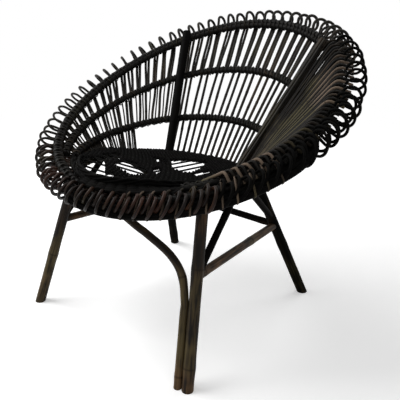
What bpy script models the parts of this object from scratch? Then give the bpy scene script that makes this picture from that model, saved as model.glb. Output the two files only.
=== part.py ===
"""Round rattan tub chair: pole legs and braces, five hoops, looped wall canes and a laced seat.

Metres, +Z up. The chair faces -Y, and +X is the sitter's left. Angles run round the chair from
the front, 0 degrees, by the sitter's left side, 90 degrees, to the back, 180 degrees.
"""

import math

import bmesh
import bpy
from mathutils import Vector

# Clearances between pieces that touch
TOUCH_GAP = 0.0003

# Pole, hoop and cane diameters
LEG_DIAMETER = 0.026
POST_DIAMETER = 0.020
SIDE_STRETCHER_DIAMETER = 0.020
REAR_STRETCHER_DIAMETER = 0.018
BRACE_DIAMETER = 0.016
BOW_DIAMETER = 0.018
SEAT_RING_DIAMETER = 0.018
SEAT_HOOP_DIAMETER = 0.012
LOWER_HOOP_DIAMETER = 0.016
MIDDLE_HOOP_DIAMETER = 0.018
RIM_HOOP_DIAMETER = 0.020
WALL_CANE_DIAMETER = 0.0055
SEAT_CANE_DIAMETER = 0.006

# Foot of the wall: a circle sloping down to the back, with the seat ring under it
SEAT_RADIUS = 0.213
SEAT_HEIGHT = 0.378
SEAT_CENTRE_Y = -0.028
SEAT_BACK_SLOPE = math.radians(5.7)
FOOT_SPREAD = math.radians(8.6)

# Top of the wall: an oval leaning back, raised a little at front and back. Its front stands a little
# ahead of the foot of the wall and below it
RIM_HALF_WIDTH = 0.356
RIM_HALF_DEPTH = 0.371
RIM_LEAN = math.radians(25.4)
RIM_SADDLE = 0.010
RIM_FRONT_OVERHANG = 0.0202
RIM_FRONT_DROP = 0.0233
SEAT_FRONT_Y = SEAT_CENTRE_Y - SEAT_RADIUS * math.cos(SEAT_BACK_SLOPE)
SEAT_FRONT_HEIGHT = SEAT_HEIGHT + SEAT_RADIUS * math.sin(SEAT_BACK_SLOPE)
RIM_CENTRE_Y = SEAT_FRONT_Y - RIM_FRONT_OVERHANG + RIM_HALF_DEPTH * math.cos(RIM_LEAN)
RIM_HEIGHT = SEAT_FRONT_HEIGHT - RIM_FRONT_DROP + RIM_HALF_DEPTH * math.sin(RIM_LEAN)

# Hoops between seat and rim: share of the way up the wall, and the stakes left free on each side of
# the front
LOWER_HOOP_SHARE = 0.282
LOWER_HOOP_FREE = 9
MIDDLE_HOOP_SHARE = 0.649
MIDDLE_HOOP_FREE = 8

# Wall canes: each one makes two stakes. A stake is a long leg from the foot of the wall, a loop at the
# rim and a short leg beside it that ends at the middle hoop
STAKE_COUNT = 78
LEG_GAP_MIDDLE = 0.0008
LEG_GAP_RIM = 0.0015
CANE_TAIL = 0.010
LOOP_LENGTH = 0.058
LOOP_GAP = 0.0015
LOOP_RISE = math.radians(9.0)
LOOP_RISE_FRONT_TO_BACK = math.radians(42.9)
LOOP_RISE_SIDES = math.radians(4.7)
LOOP_STEPS = 6
LOOP_OPENING = math.radians(120)

# Bare corner beside the sitter's right back post, where the wall canes stop at the lower hoop
BARE_CORNER_FROM = math.radians(222)
BARE_CORNER_TO = math.radians(250)

# Legs and back posts: the front legs pass outside the seat ring, the rear ones end under it
FRONT_FOOT_X = 0.264
FRONT_FOOT_Y = -0.247
FRONT_LEG_ANGLE = math.radians(51.7)
FRONT_LEG_OUTSET = 0.015
FRONT_LEG_HEAD = 0.008
REAR_FOOT_X = 0.240
REAR_FOOT_Y = 0.275
REAR_LEG_ANGLE = math.radians(133)
POST_ANGLE = math.radians(139.5)
POST_START_SHARE = 0.06
POST_TOP_SHARE = 1.04
POST_GAP = 0.0006

# Braces: heights on the legs as shares of the seat's height, and angles at which they reach the seat ring
FRONT_JOINT_HEIGHT = 0.606 * SEAT_HEIGHT
REAR_JOINT_HEIGHT = 0.571 * SEAT_HEIGHT
REAR_STRETCHER_HEIGHT = 0.579 * SEAT_HEIGHT
FRONT_BRACE_ANGLE = math.radians(76.5)
REAR_BRACE_HEIGHT = 0.635 * SEAT_HEIGHT
REAR_BRACE_ANGLE = math.radians(95)

# Bow: it leaves the leg at a height, then passes points given as shares of the seat's radius, across and
# back from the seat's centre, and of the seat's height
BOW_SIDE = (-0.93, -0.36, 0.0)
BOW_STRAIGHT_HEIGHT = 0.463 * SEAT_HEIGHT
BOW_CROWN = ((0.915, -0.751, 0.587), (0.737, -0.732, 0.680), (0.432, -0.742, 0.754), (0.235, -0.789, 0.815))
BOW_END_ANGLE = math.radians(-15.5)

# Laced seat
LENGTHWISE_RUNS = 17
CROSSWISE_RUNS = 15
LACED_SPAN = math.radians(64)

# Facets
CROWN_STEPS = 4
POLE_RESOLUTION = 4
RING_RESOLUTION = 1
HOOP_RESOLUTION = 3
CANE_RESOLUTION = 0

# Colours from the photograph: linear RGB and roughness
POLE_FINISH = ((0.035, 0.026, 0.018, 1.0), 0.50)
HOOP_FINISH = ((0.020, 0.016, 0.013, 1.0), 0.55)
CANE_FINISH = ((0.015, 0.012, 0.010, 1.0), 0.50)

UP = Vector((0.0, 0.0, 1.0))


# Shape of the basket

def tilted_oval(angle, half_width, half_depth, centre_y, height, lean):
    """Point on an oval that leans back about the X axis."""
    reach = -half_depth * math.cos(angle)
    return Vector((half_width * math.sin(angle),
                   centre_y + reach * math.cos(lean),
                   height + reach * math.sin(lean)))


def seat_point(angle):
    """Foot of the wall at an angle, spread round the front where the wall is short."""
    foot = angle + FOOT_SPREAD * math.sin(angle) * (1 + math.cos(angle))
    return tilted_oval(foot, SEAT_RADIUS, SEAT_RADIUS, SEAT_CENTRE_Y, SEAT_HEIGHT, -SEAT_BACK_SLOPE)


def rim_point(angle):
    """Top of the wall at an angle."""
    point = tilted_oval(angle, RIM_HALF_WIDTH, RIM_HALF_DEPTH, RIM_CENTRE_Y, RIM_HEIGHT, RIM_LEAN)
    return point + UP * (RIM_SADDLE * math.cos(2 * angle))


def wall_point(angle, share):
    """Point a share of the way up the wall."""
    return seat_point(angle).lerp(rim_point(angle), share)


def wall_tangent(angle, share):
    """Direction round the chair a share of the way up the wall."""
    step = math.pi / STAKE_COUNT
    return (wall_point(angle + step, share) - wall_point(angle - step, share)).normalized()


def square_to(direction, other):
    """The part of a direction that is square to another one, as a unit vector."""
    return (direction - other * direction.dot(other)).normalized()


def wall_axes(angle, share):
    """Directions on the wall: up along it, across it, and from it into the basket."""
    along = (rim_point(angle) - seat_point(angle)).normalized()
    across = square_to(wall_tangent(angle, share), along)
    return along, across, along.cross(across)


def hoop_point(angle, share, diameter):
    """Centre of a hoop that lies inside the wall canes."""
    inward = wall_axes(angle, share)[2]
    return wall_point(angle, share) + inward * (diameter / 2 + WALL_CANE_DIAMETER / 2 + TOUCH_GAP)


def ring_point(angle):
    """Centre of the seat ring, which lies under the wall canes."""
    inward = wall_axes(angle, 0.0)[2]
    return seat_point(angle) - inward * (SEAT_RING_DIAMETER / 2 + WALL_CANE_DIAMETER / 2 + TOUCH_GAP)


def stake_angles():
    """Angles of the stakes, even on both sides of the front."""
    return [2 * math.pi * (number + 0.5) / STAKE_COUNT for number in range(STAKE_COUNT)]


# Blender objects

def clear_scene():
    """Remove what the scene holds."""
    for item in list(bpy.data.objects):
        bpy.data.objects.remove(item, do_unlink=True)


def new_collection(name):
    """Make a collection in the scene."""
    collection = bpy.data.collections.new(name)
    bpy.context.scene.collection.children.link(collection)
    return collection


def add_finish(item, finish):
    """Give an object its own material."""
    colour, roughness = finish
    material = bpy.data.materials.new(item.name + "_finish")
    material.use_nodes = True
    shader = material.node_tree.nodes["Principled BSDF"]
    shader.inputs["Base Color"].default_value = colour
    shader.inputs["Roughness"].default_value = roughness
    shader.inputs["Metallic"].default_value = 0.0
    item.data.materials.append(material)


def tube_curve(name, points, diameter, resolution, cyclic=False):
    """Make curve data for a round tube with filled ends through the points."""
    curve = bpy.data.curves.new(name, "CURVE")
    curve.dimensions = "3D"
    curve.bevel_depth = diameter / 2
    curve.bevel_resolution = resolution
    curve.use_fill_caps = not cyclic
    spline = curve.splines.new("POLY")
    spline.points.add(len(points) - 1)
    for target, point in zip(spline.points, points):
        target.co = (*point, 1.0)
    spline.use_cyclic_u = cyclic
    return curve


class Chair:
    """Holds the collections and the parent of every piece."""

    def __init__(self):
        self.parts = new_collection("rattan_chair")
        self.cutters = new_collection("rattan_chair_cutters")
        self.origin = bpy.data.objects.new("chair_origin", None)
        self.parts.objects.link(self.origin)

    def add_part(self, name, data, finish):
        """Add a piece of the chair."""
        item = bpy.data.objects.new(name, data)
        item.parent = self.origin
        self.parts.objects.link(item)
        add_finish(item, finish)
        return item

    def add_tube(self, name, points, diameter, resolution, finish, cyclic=False):
        """Add a piece that stays a plain tube."""
        return self.add_part(name, tube_curve(name, points, diameter, resolution, cyclic), finish)

    def add_pole(self, name, points, diameter, cutters):
        """Add a pole coped round the cutters."""
        item = self.add_part(name, tube_mesh(name, points, diameter), POLE_FINISH)
        for cutter in cutters:
            boolean = item.modifiers.new(cutter.name, "BOOLEAN")
            boolean.operation = "DIFFERENCE"
            boolean.object = cutter
            boolean.solver = "EXACT"

    def add_pole_pair(self, name, points, diameter, cutter_pairs):
        """Add a left and a right pole, each coped round the cutters of its own side."""
        self.add_pole(name + "_left", points, diameter, [pair[0] for pair in cutter_pairs])
        self.add_pole(name + "_right", mirrored(points), diameter, [pair[1] for pair in cutter_pairs])

    def add_cutter(self, name, mesh):
        """Add a shape that cuts other pieces."""
        item = bpy.data.objects.new(name, mesh)
        item.parent = self.origin
        item.hide_render = True
        item.display_type = "WIRE"
        self.cutters.objects.link(item)
        return item

    def set_on_floor_centre(self):
        """Move the chair so that the middle of its bounding box is over the origin."""
        bpy.context.view_layer.update()
        graph = bpy.context.evaluated_depsgraph_get()
        reach = []
        for item in self.parts.objects:
            if item.type != "EMPTY":
                evaluated = item.evaluated_get(graph)
                reach += [(evaluated.matrix_world @ Vector(corner)).y for corner in evaluated.bound_box]
        self.origin.location.y = -(min(reach) + max(reach)) / 2


def tube_mesh(name, points, diameter, resolution=POLE_RESOLUTION, cyclic=False):
    """Make a closed mesh of a round tube through the points."""
    item = bpy.data.objects.new(name + "_path", tube_curve(name, points, diameter, resolution, cyclic))
    bpy.context.scene.collection.objects.link(item)
    graph = bpy.context.evaluated_depsgraph_get()
    mesh = bpy.data.meshes.new_from_object(item.evaluated_get(graph))
    bpy.data.objects.remove(item, do_unlink=True)
    mesh.name = name
    shape = bmesh.new()
    shape.from_mesh(mesh)
    bmesh.ops.remove_doubles(shape, verts=shape.verts, dist=0.00001)
    bmesh.ops.recalc_face_normals(shape, faces=shape.faces)
    shape.to_mesh(mesh)
    shape.free()
    return mesh


def block_mesh(name, width, depth, height):
    """Make a block whose top face is centred on the origin."""
    mesh = bpy.data.meshes.new(name)
    shape = bmesh.new()
    bmesh.ops.create_cube(shape, size=1.0)
    bmesh.ops.scale(shape, verts=shape.verts, vec=(width, depth, height))
    bmesh.ops.translate(shape, verts=shape.verts, vec=(0.0, 0.0, -height / 2))
    shape.to_mesh(mesh)
    shape.free()
    return mesh


def mirrored(points):
    """The points on the sitter's right side instead of the left."""
    return [Vector((-point.x, point.y, point.z)) for point in points]


def smooth_path(knots):
    """Points of a smooth curve through all knots but the first and last, which set its end directions."""
    points = []
    for before, start, end, after in zip(knots, knots[1:], knots[2:], knots[3:]):
        for step in range(CROWN_STEPS):
            share = step / CROWN_STEPS
            straight = start.lerp(end, share)
            leave = (end - before) / 2 - (end - start)
            arrive = (end - start) - (after - start) / 2
            pull = leave * (share * (1 - share) ** 2) + arrive * (share ** 2 * (1 - share))
            points.append(straight + pull)
    return points + [knots[-2]]


# Legs, posts and braces

class Leg:
    """A straight pole from the floor up to the seat ring, on the sitter's left."""

    def __init__(self, foot_x, foot_y, angle, outset=0.0, head=0.0):
        ring = ring_point(angle)
        outward = Vector((ring.x, ring.y - SEAT_CENTRE_Y, 0.0)).normalized()
        self.foot = Vector((foot_x, foot_y, 0.0))
        self.axis = (ring + outward * outset - self.foot).normalized()
        self.top = self.at_height(ring.z) + self.axis * head

    def at_height(self, height):
        """Point on the leg's axis at a height above the floor."""
        return self.foot + self.axis * (height / self.axis.z)

    def path(self, beyond=0.0):
        """Axis of the pole, running on below the floor and beyond its top."""
        return [self.foot - self.axis * LEG_DIAMETER, self.top + self.axis * beyond]


def post_path():
    """Axis of the left back post: up the inside of the middle and the rim hoop, from above the seat."""
    beside = []
    for share, diameter in ((MIDDLE_HOOP_SHARE, MIDDLE_HOOP_DIAMETER), (1.0, RIM_HOOP_DIAMETER)):
        inward = wall_axes(POST_ANGLE, share)[2]
        offset = inward * ((diameter + POST_DIAMETER) / 2 + POST_GAP)
        beside.append(hoop_point(POST_ANGLE, share, diameter) + offset)
    ends = [(share - MIDDLE_HOOP_SHARE) / (1 - MIDDLE_HOOP_SHARE) for share in (POST_START_SHARE, POST_TOP_SHARE)]
    return [beside[0].lerp(beside[1], end) for end in ends]


def bow_path(front_leg):
    """Axis of the bow: up beside the left front leg, then over to the front of the seat ring."""
    aside = square_to(Vector(BOW_SIDE), front_leg.axis)
    offset = aside * ((LEG_DIAMETER + BOW_DIAMETER) / 2 + TOUCH_GAP)
    below = front_leg.foot + offset - front_leg.axis * LEG_DIAMETER
    start = front_leg.at_height(BOW_STRAIGHT_HEIGHT) + offset
    end = ring_point(BOW_END_ANGLE)
    crown = [Vector((across * SEAT_RADIUS, SEAT_CENTRE_Y + back * SEAT_RADIUS, height * SEAT_HEIGHT))
             for across, back, height in BOW_CROWN]
    beyond = end + UP * (end.z - crown[-1].z)
    return [below] + smooth_path([below, start, *crown, end, beyond])


def pole_cutters(chair, name, path, diameter):
    """Cutters that leave room for a left and a right pole in other poles."""
    size = diameter + 2 * TOUCH_GAP
    left = tube_mesh(name + "_cutter_left", path, size)
    right = tube_mesh(name + "_cutter_right", mirrored(path), size)
    return chair.add_cutter(left.name, left), chair.add_cutter(right.name, right)


def ring_cutter(chair):
    """Cutter that leaves room for the seat ring in the poles that carry it."""
    points = [ring_point(angle) for angle in stake_angles()]
    size = SEAT_RING_DIAMETER + 2 * TOUCH_GAP
    mesh = tube_mesh("seat_ring_cutter", points, size, RING_RESOLUTION, cyclic=True)
    return chair.add_cutter(mesh.name, mesh)


def floor_cutter(chair):
    """Cutter that ends the feet level with the floor."""
    reach = 4 * max(FRONT_FOOT_X, REAR_FOOT_X, -FRONT_FOOT_Y, REAR_FOOT_Y)
    mesh = block_mesh("floor_cutter", reach, reach, 4 * LEG_DIAMETER)
    return chair.add_cutter(mesh.name, mesh)


def add_frame(chair):
    """Add the legs, back posts, stretchers and braces."""
    front = Leg(FRONT_FOOT_X, FRONT_FOOT_Y, FRONT_LEG_ANGLE, FRONT_LEG_OUTSET, FRONT_LEG_HEAD)
    rear = Leg(REAR_FOOT_X, REAR_FOOT_Y, REAR_LEG_ANGLE)
    front_joint = front.at_height(FRONT_JOINT_HEIGHT)
    side = [front_joint, rear.at_height(REAR_JOINT_HEIGHT)]
    ring = ring_cutter(chair)
    floor = floor_cutter(chair)
    on_ring = (ring, ring)
    on_floor = (floor, floor)
    on_front = pole_cutters(chair, "leg_front", front.path(TOUCH_GAP), LEG_DIAMETER)
    on_rear = pole_cutters(chair, "leg_rear", rear.path(TOUCH_GAP), LEG_DIAMETER)
    on_side = pole_cutters(chair, "side_stretcher", side, SIDE_STRETCHER_DIAMETER)

    chair.add_pole_pair("leg_front", front.path(), LEG_DIAMETER, [on_floor, on_ring])
    chair.add_pole_pair("leg_rear", rear.path(), LEG_DIAMETER, [on_floor, on_ring])
    chair.add_pole_pair("back_post", post_path(), POST_DIAMETER, [])
    chair.add_pole_pair("side_stretcher", side, SIDE_STRETCHER_DIAMETER, [on_front, on_rear])

    end = rear.at_height(REAR_STRETCHER_HEIGHT)
    chair.add_pole("rear_stretcher", [end, *mirrored([end])], REAR_STRETCHER_DIAMETER, on_rear + on_side)

    points = [front_joint, ring_point(FRONT_BRACE_ANGLE)]
    chair.add_pole_pair("side_brace_front", points, BRACE_DIAMETER, [on_front, on_side, on_ring])

    points = [rear.at_height(REAR_BRACE_HEIGHT), ring_point(REAR_BRACE_ANGLE)]
    chair.add_pole_pair("side_brace_rear", points, BRACE_DIAMETER, [on_rear, on_side, on_ring])

    chair.add_pole("front_bow_brace", bow_path(front), BOW_DIAMETER, [floor, ring])


# Hoops

def add_hoops(chair):
    """Add the seat ring, the hoop that carries the seat, the two open hoops and the rim hoop."""
    points = [ring_point(angle) for angle in stake_angles()]
    add_ring(chair, "seat_ring", points, SEAT_RING_DIAMETER, RING_RESOLUTION)
    points = [hoop_point(angle, 0.0, SEAT_HOOP_DIAMETER) for angle in stake_angles()]
    add_ring(chair, "seat_inner_hoop", points, SEAT_HOOP_DIAMETER, RING_RESOLUTION)
    add_open_hoop(chair, "lower_hoop", LOWER_HOOP_SHARE, LOWER_HOOP_DIAMETER, LOWER_HOOP_FREE)
    add_open_hoop(chair, "middle_hoop", MIDDLE_HOOP_SHARE, MIDDLE_HOOP_DIAMETER, MIDDLE_HOOP_FREE)
    points = [hoop_point(angle, 1.0, RIM_HOOP_DIAMETER) for angle in stake_angles()]
    add_ring(chair, "rim_hoop", points, RIM_HOOP_DIAMETER, HOOP_RESOLUTION)


def add_ring(chair, name, points, diameter, resolution):
    """Add a hoop that goes all the way round."""
    chair.add_tube(name, points, diameter, resolution, HOOP_FINISH, cyclic=True)


def add_open_hoop(chair, name, share, diameter, free):
    """Add a hoop whose ends stop half way between cane legs on both sides of the front."""
    end = 2 * math.pi * free / STAKE_COUNT
    angles = [end, *stake_angles()[free:-free], 2 * math.pi - end]
    points = [hoop_point(angle, share, diameter) for angle in angles]
    chair.add_tube(name, points, diameter, HOOP_RESOLUTION, HOOP_FINISH)


# Wall canes

def loop_axes(angle):
    """Directions of the loop at an angle: out from the rim, and across the loop."""
    outward = rim_point(angle) - Vector((0.0, RIM_CENTRE_Y, 0.0))
    outward.z = 0.0
    rise = LOOP_RISE - LOOP_RISE_FRONT_TO_BACK * math.cos(angle) - LOOP_RISE_SIDES * math.cos(2 * angle)
    out = outward.normalized() * math.cos(rise) + UP * math.sin(rise)
    return out, square_to(wall_tangent(angle, 1.0), out)


def loop_pitch(angle):
    """Distance between neighbouring loops where they are widest."""
    half_step = math.pi / STAKE_COUNT
    before, after = [rim_point(side) + loop_axes(side)[0] * (0.8 * LOOP_LENGTH)
                     for side in (angle - half_step, angle + half_step)]
    return (after - before).length


def stake_points(angle, share, side):
    """One stake: its short leg up from the middle hoop, the loop, and its long leg down to a share of the
    wall's height. The side is 1 where the long leg follows the short one round the chair, otherwise -1."""
    along, across, _ = wall_axes(angle, MIDDLE_HOOP_SHARE)
    middle = wall_point(angle, MIDDLE_HOOP_SHARE)
    rim = rim_point(angle)
    half_middle = across * (side * (WALL_CANE_DIAMETER + LEG_GAP_MIDDLE) / 2)
    half_rim = wall_axes(angle, 1.0)[1] * (side * (WALL_CANE_DIAMETER + LEG_GAP_RIM) / 2)
    out, sideways = loop_axes(angle)
    radius = (loop_pitch(angle) - WALL_CANE_DIAMETER - LOOP_GAP) / 2
    centre = rim + out * (LOOP_LENGTH - radius - WALL_CANE_DIAMETER / 2)
    points = [middle - along * CANE_TAIL - half_middle, rim - half_rim]
    for step in range(LOOP_STEPS + 1):
        turn = side * LOOP_OPENING * (2 * step / LOOP_STEPS - 1)
        points.append(centre + (out * math.cos(turn) + sideways * math.sin(turn)) * radius)
    points += [rim + half_rim, middle - along * CANE_TAIL + half_middle]
    return points + [wall_point(angle, share) - along * CANE_TAIL]


def cane_points(first, second, share):
    """Path of one unbroken cane: two stakes joined by a turn at the foot."""
    left = stake_points(first, share, 1)
    right = stake_points(second, share, -1)[::-1]
    turn_depth = wall_axes((first + second) / 2, share)[0] * WALL_CANE_DIAMETER
    turn = [left[-1].lerp(right[0], step) - turn_depth for step in (0.25, 0.75)]
    return left + turn + right


def least_gap(points, diameter):
    """Least clear distance between stretches of a cane that are well apart along it."""
    samples = []
    along = 0.0
    for start, end in zip(points, points[1:]):
        length = (end - start).length
        count = max(1, math.ceil(length / diameter))
        samples += [(along + length * step / count, start.lerp(end, step / count)) for step in range(count)]
        along += length
    least = math.inf
    for number, (place, sample) in enumerate(samples):
        for other_place, other in samples[number + 1:]:
            if other_place - place > 4 * diameter:
                least = min(least, (sample - other).length)
    return least - diameter


def is_bare_corner(angle):
    """Whether the wall canes at an angle stop at the lower hoop."""
    return BARE_CORNER_FROM < angle < BARE_CORNER_TO


def add_wall_canes(chair):
    """Add the canes of the wall, two stakes each."""
    angles = stake_angles()
    gaps = []
    for number, (first, second) in enumerate(zip(angles[::2], angles[1::2]), start=1):
        share = LOWER_HOOP_SHARE if is_bare_corner((first + second) / 2) else 0.0
        points = cane_points(first, second, share)
        gaps.append(least_gap(points, WALL_CANE_DIAMETER))
        chair.add_tube(f"wall_cane_{number:02d}", points, WALL_CANE_DIAMETER, CANE_RESOLUTION, CANE_FINISH)
    print(f"least gap of a wall cane to itself: {min(gaps) * 1000:.2f} mm")


# Laced seat

def laced_path(runs, turned, lift):
    """Path of one cane laced to and fro across the seat's hoop, lifted off the hoop's centre line."""
    front = hoop_point(0.0, 0.0, SEAT_HOOP_DIAMETER)
    back = hoop_point(math.pi, 0.0, SEAT_HOOP_DIAMETER)
    normal = Vector((1.0, 0.0, 0.0)).cross(back - front).normalized()
    points = []
    for run in range(runs):
        side = math.asin(math.sin(LACED_SPAN) * (2 * run / (runs - 1) - 1))
        ends = [side, math.pi - side]
        if turned:
            ends = [math.pi / 2 - side, 3 * math.pi / 2 + side]
        if run % 2:
            ends.reverse()
        start, end = [hoop_point(angle, 0.0, SEAT_HOOP_DIAMETER) + normal * lift for angle in ends]
        if points:
            onward = (points[-1] - points[-2]).normalized() * (SEAT_CANE_DIAMETER * 0.8)
            last = points[-1]
            points += [last.lerp(start, share) + onward for share in (0.25, 0.75)]
        points += [start, end]
    return points


def add_seat_canes(chair):
    """Add the two laced layers of the seat, the crosswise one above the lengthwise one."""
    lift = (SEAT_HOOP_DIAMETER + SEAT_CANE_DIAMETER) / 2 + TOUCH_GAP
    points = laced_path(LENGTHWISE_RUNS, False, lift)
    chair.add_tube("seat_canes_lengthwise", points, SEAT_CANE_DIAMETER, CANE_RESOLUTION, CANE_FINISH)
    lift += SEAT_CANE_DIAMETER + TOUCH_GAP
    points = laced_path(CROSSWISE_RUNS, True, lift)
    chair.add_tube("seat_canes_crosswise", points, SEAT_CANE_DIAMETER, CANE_RESOLUTION, CANE_FINISH)


def main():
    """Build the chair."""
    clear_scene()
    chair = Chair()
    add_frame(chair)
    add_hoops(chair)
    add_wall_canes(chair)
    add_seat_canes(chair)
    chair.set_on_floor_centre()


main()
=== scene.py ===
"""Looks of a round rattan tub chair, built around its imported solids.

Metres, +Z up. The chair faces -Y and +X is the sitter's left. Angles run round the chair from the
front, 0 degrees, by the sitter's left side, 90 degrees, to the back, 180 degrees.
"""

import logging
import math
import random
from dataclasses import dataclass, replace
from enum import Enum
from typing import Any, Iterable, Sequence

import bmesh
import bpy
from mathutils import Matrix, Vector


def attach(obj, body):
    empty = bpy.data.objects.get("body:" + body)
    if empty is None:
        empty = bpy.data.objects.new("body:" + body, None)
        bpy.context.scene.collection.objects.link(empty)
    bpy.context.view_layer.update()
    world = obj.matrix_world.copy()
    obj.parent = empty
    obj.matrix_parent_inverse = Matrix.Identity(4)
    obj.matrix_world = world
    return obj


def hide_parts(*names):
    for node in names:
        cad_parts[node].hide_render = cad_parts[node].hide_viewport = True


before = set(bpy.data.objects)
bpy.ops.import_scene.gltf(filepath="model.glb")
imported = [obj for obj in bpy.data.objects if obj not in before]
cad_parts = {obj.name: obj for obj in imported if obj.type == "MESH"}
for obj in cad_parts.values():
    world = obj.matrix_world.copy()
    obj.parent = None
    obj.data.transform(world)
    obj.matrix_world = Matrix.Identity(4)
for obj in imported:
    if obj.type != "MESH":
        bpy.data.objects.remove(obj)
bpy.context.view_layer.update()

LOG = logging.getLogger("rattan_chair")
BODY = "root"
FULL_TURN = 2 * math.pi
UP = Vector((0.0, 0.0, 1.0))
Pair = tuple[float, float]
Triple = tuple[float, float, float]
Path = list[Vector]


class Side(Enum):
    """Side of the chair, as the sitter has it, with the sign of its X."""

    LEFT = 1
    RIGHT = -1

    def place(self, path: Iterable[Vector]) -> Path:
        """The path on this side, from one drawn on the left."""
        return [Vector((point.x * self.value, point.y, point.z)) for point in path]


class Slot(Enum):
    """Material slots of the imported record."""

    POLE = "rattan_pole"
    HOOP = "rattan_hoop"
    SEAT = "seat_cane"
    WALL = "wall_cane"


# Small helpers

def evenly(first: float, last: float, steps: int) -> list[float]:
    """Values from first to last in even steps, both ends included."""
    return [first + (last - first) * step / steps for step in range(steps + 1)]


def from_front(angle: float) -> float:
    """The same angle counted both ways from the front, negative on the sitter's right."""
    return angle - FULL_TURN if angle > math.pi else angle


def square_to(direction: Vector, other: Vector) -> Vector:
    """The part of a direction that is square to another one, as a unit vector."""
    return (direction - other * direction.dot(other)).normalized()


def level_at(levels: Sequence[Pair], place: float) -> float:
    """Value at a place, on straight lines between given values.

    Args:
        levels: Places in order, each with its value.
        place: Where the value is wanted.

    Returns:
        The value.
    """
    for (before, low), (after, high) in zip(levels, levels[1:]):
        if before <= place <= after:
            return low + (high - low) * (place - before) / (after - before)
    return levels[-1][1]


def tight_outline(points: Sequence[Pair]) -> list[Pair]:
    """The outline of a cane pulled tight round points.

    Args:
        points: Flat points.

    Returns:
        Corners of the outline in order.
    """
    outline: list[Pair] = []
    for row in (sorted(points), sorted(points, reverse=True)):
        side: list[Pair] = []
        for x, y in row:
            while len(side) > 1 and ((side[-1][0] - side[-2][0]) * (y - side[-2][1])
                                     <= (side[-1][1] - side[-2][1]) * (x - side[-2][0])):
                side.pop()
            side.append((x, y))
        outline += side[:-1]
    return outline


def point_along(outline: Sequence[Pair], share: float) -> Pair:
    """Point on a closed outline.

    Args:
        outline: Corners in order.
        share: Share of the way round.

    Returns:
        The point.
    """
    legs = list(zip(outline, (*outline[1:], outline[0])))
    lengths = [math.dist(start, end) for start, end in legs]
    left = share * sum(lengths)
    for (start, end), length in zip(legs, lengths):
        if left <= length:
            part = left / length
            return start[0] + (end[0] - start[0]) * part, start[1] + (end[1] - start[1]) * part
        left -= length
    return outline[0]


# Shader maths

class Value:
    """A number socket of a shader tree that Python operators work on."""

    def __init__(self, tree: bpy.types.NodeTree, socket: bpy.types.NodeSocket) -> None:
        """Wrap a socket of the tree."""
        self.tree = tree
        self.socket = socket

    def math(self, operation: str, *others: Any, flipped: bool = False) -> "Value":
        """Add a Math node.

        Args:
            operation: Name of the Math node's operation.
            others: Values or numbers that go in beside this one.
            flipped: Whether this value comes after the others.

        Returns:
            The result as a value.
        """
        node = self.tree.nodes.new("ShaderNodeMath")
        node.operation = operation
        terms = [*others, self] if flipped else [self, *others]
        for target, term in zip(node.inputs, terms):
            if isinstance(term, Value):
                self.tree.links.new(term.socket, target)
            else:
                target.default_value = term
        return Value(self.tree, node.outputs[0])

    def __add__(self, other: Any) -> "Value":
        """Sum."""
        return self.math("ADD", other)

    def __sub__(self, other: Any) -> "Value":
        """Difference."""
        return self.math("SUBTRACT", other)

    def __rsub__(self, other: Any) -> "Value":
        """Difference from a number."""
        return self.math("SUBTRACT", other, flipped=True)

    def __mul__(self, other: Any) -> "Value":
        """Product."""
        return self.math("MULTIPLY", other)

    def __truediv__(self, other: Any) -> "Value":
        """Quotient."""
        return self.math("DIVIDE", other)

    __radd__ = __add__


class NodeMaker:
    """Adds nodes to the tree that it keeps."""

    tree: bpy.types.NodeTree

    def add(self, kind: str, settings: dict[str, Any] | None = None,
            sockets: dict[Any, Any] | None = None) -> bpy.types.Node:
        """Add a node.

        Args:
            kind: Type of the node.
            settings: Properties that are set first.
            sockets: Values, colours or links of its inputs, by name or number.

        Returns:
            The node.
        """
        node = self.tree.nodes.new(kind)
        for name, setting in (settings or {}).items():
            setattr(node, name, setting)
        for key, item in (sockets or {}).items():
            link = item.socket if isinstance(item, Value) else item
            if isinstance(link, bpy.types.NodeSocket):
                self.tree.links.new(link, node.inputs[key])
            else:
                node.inputs[key].default_value = item
        return node


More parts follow.
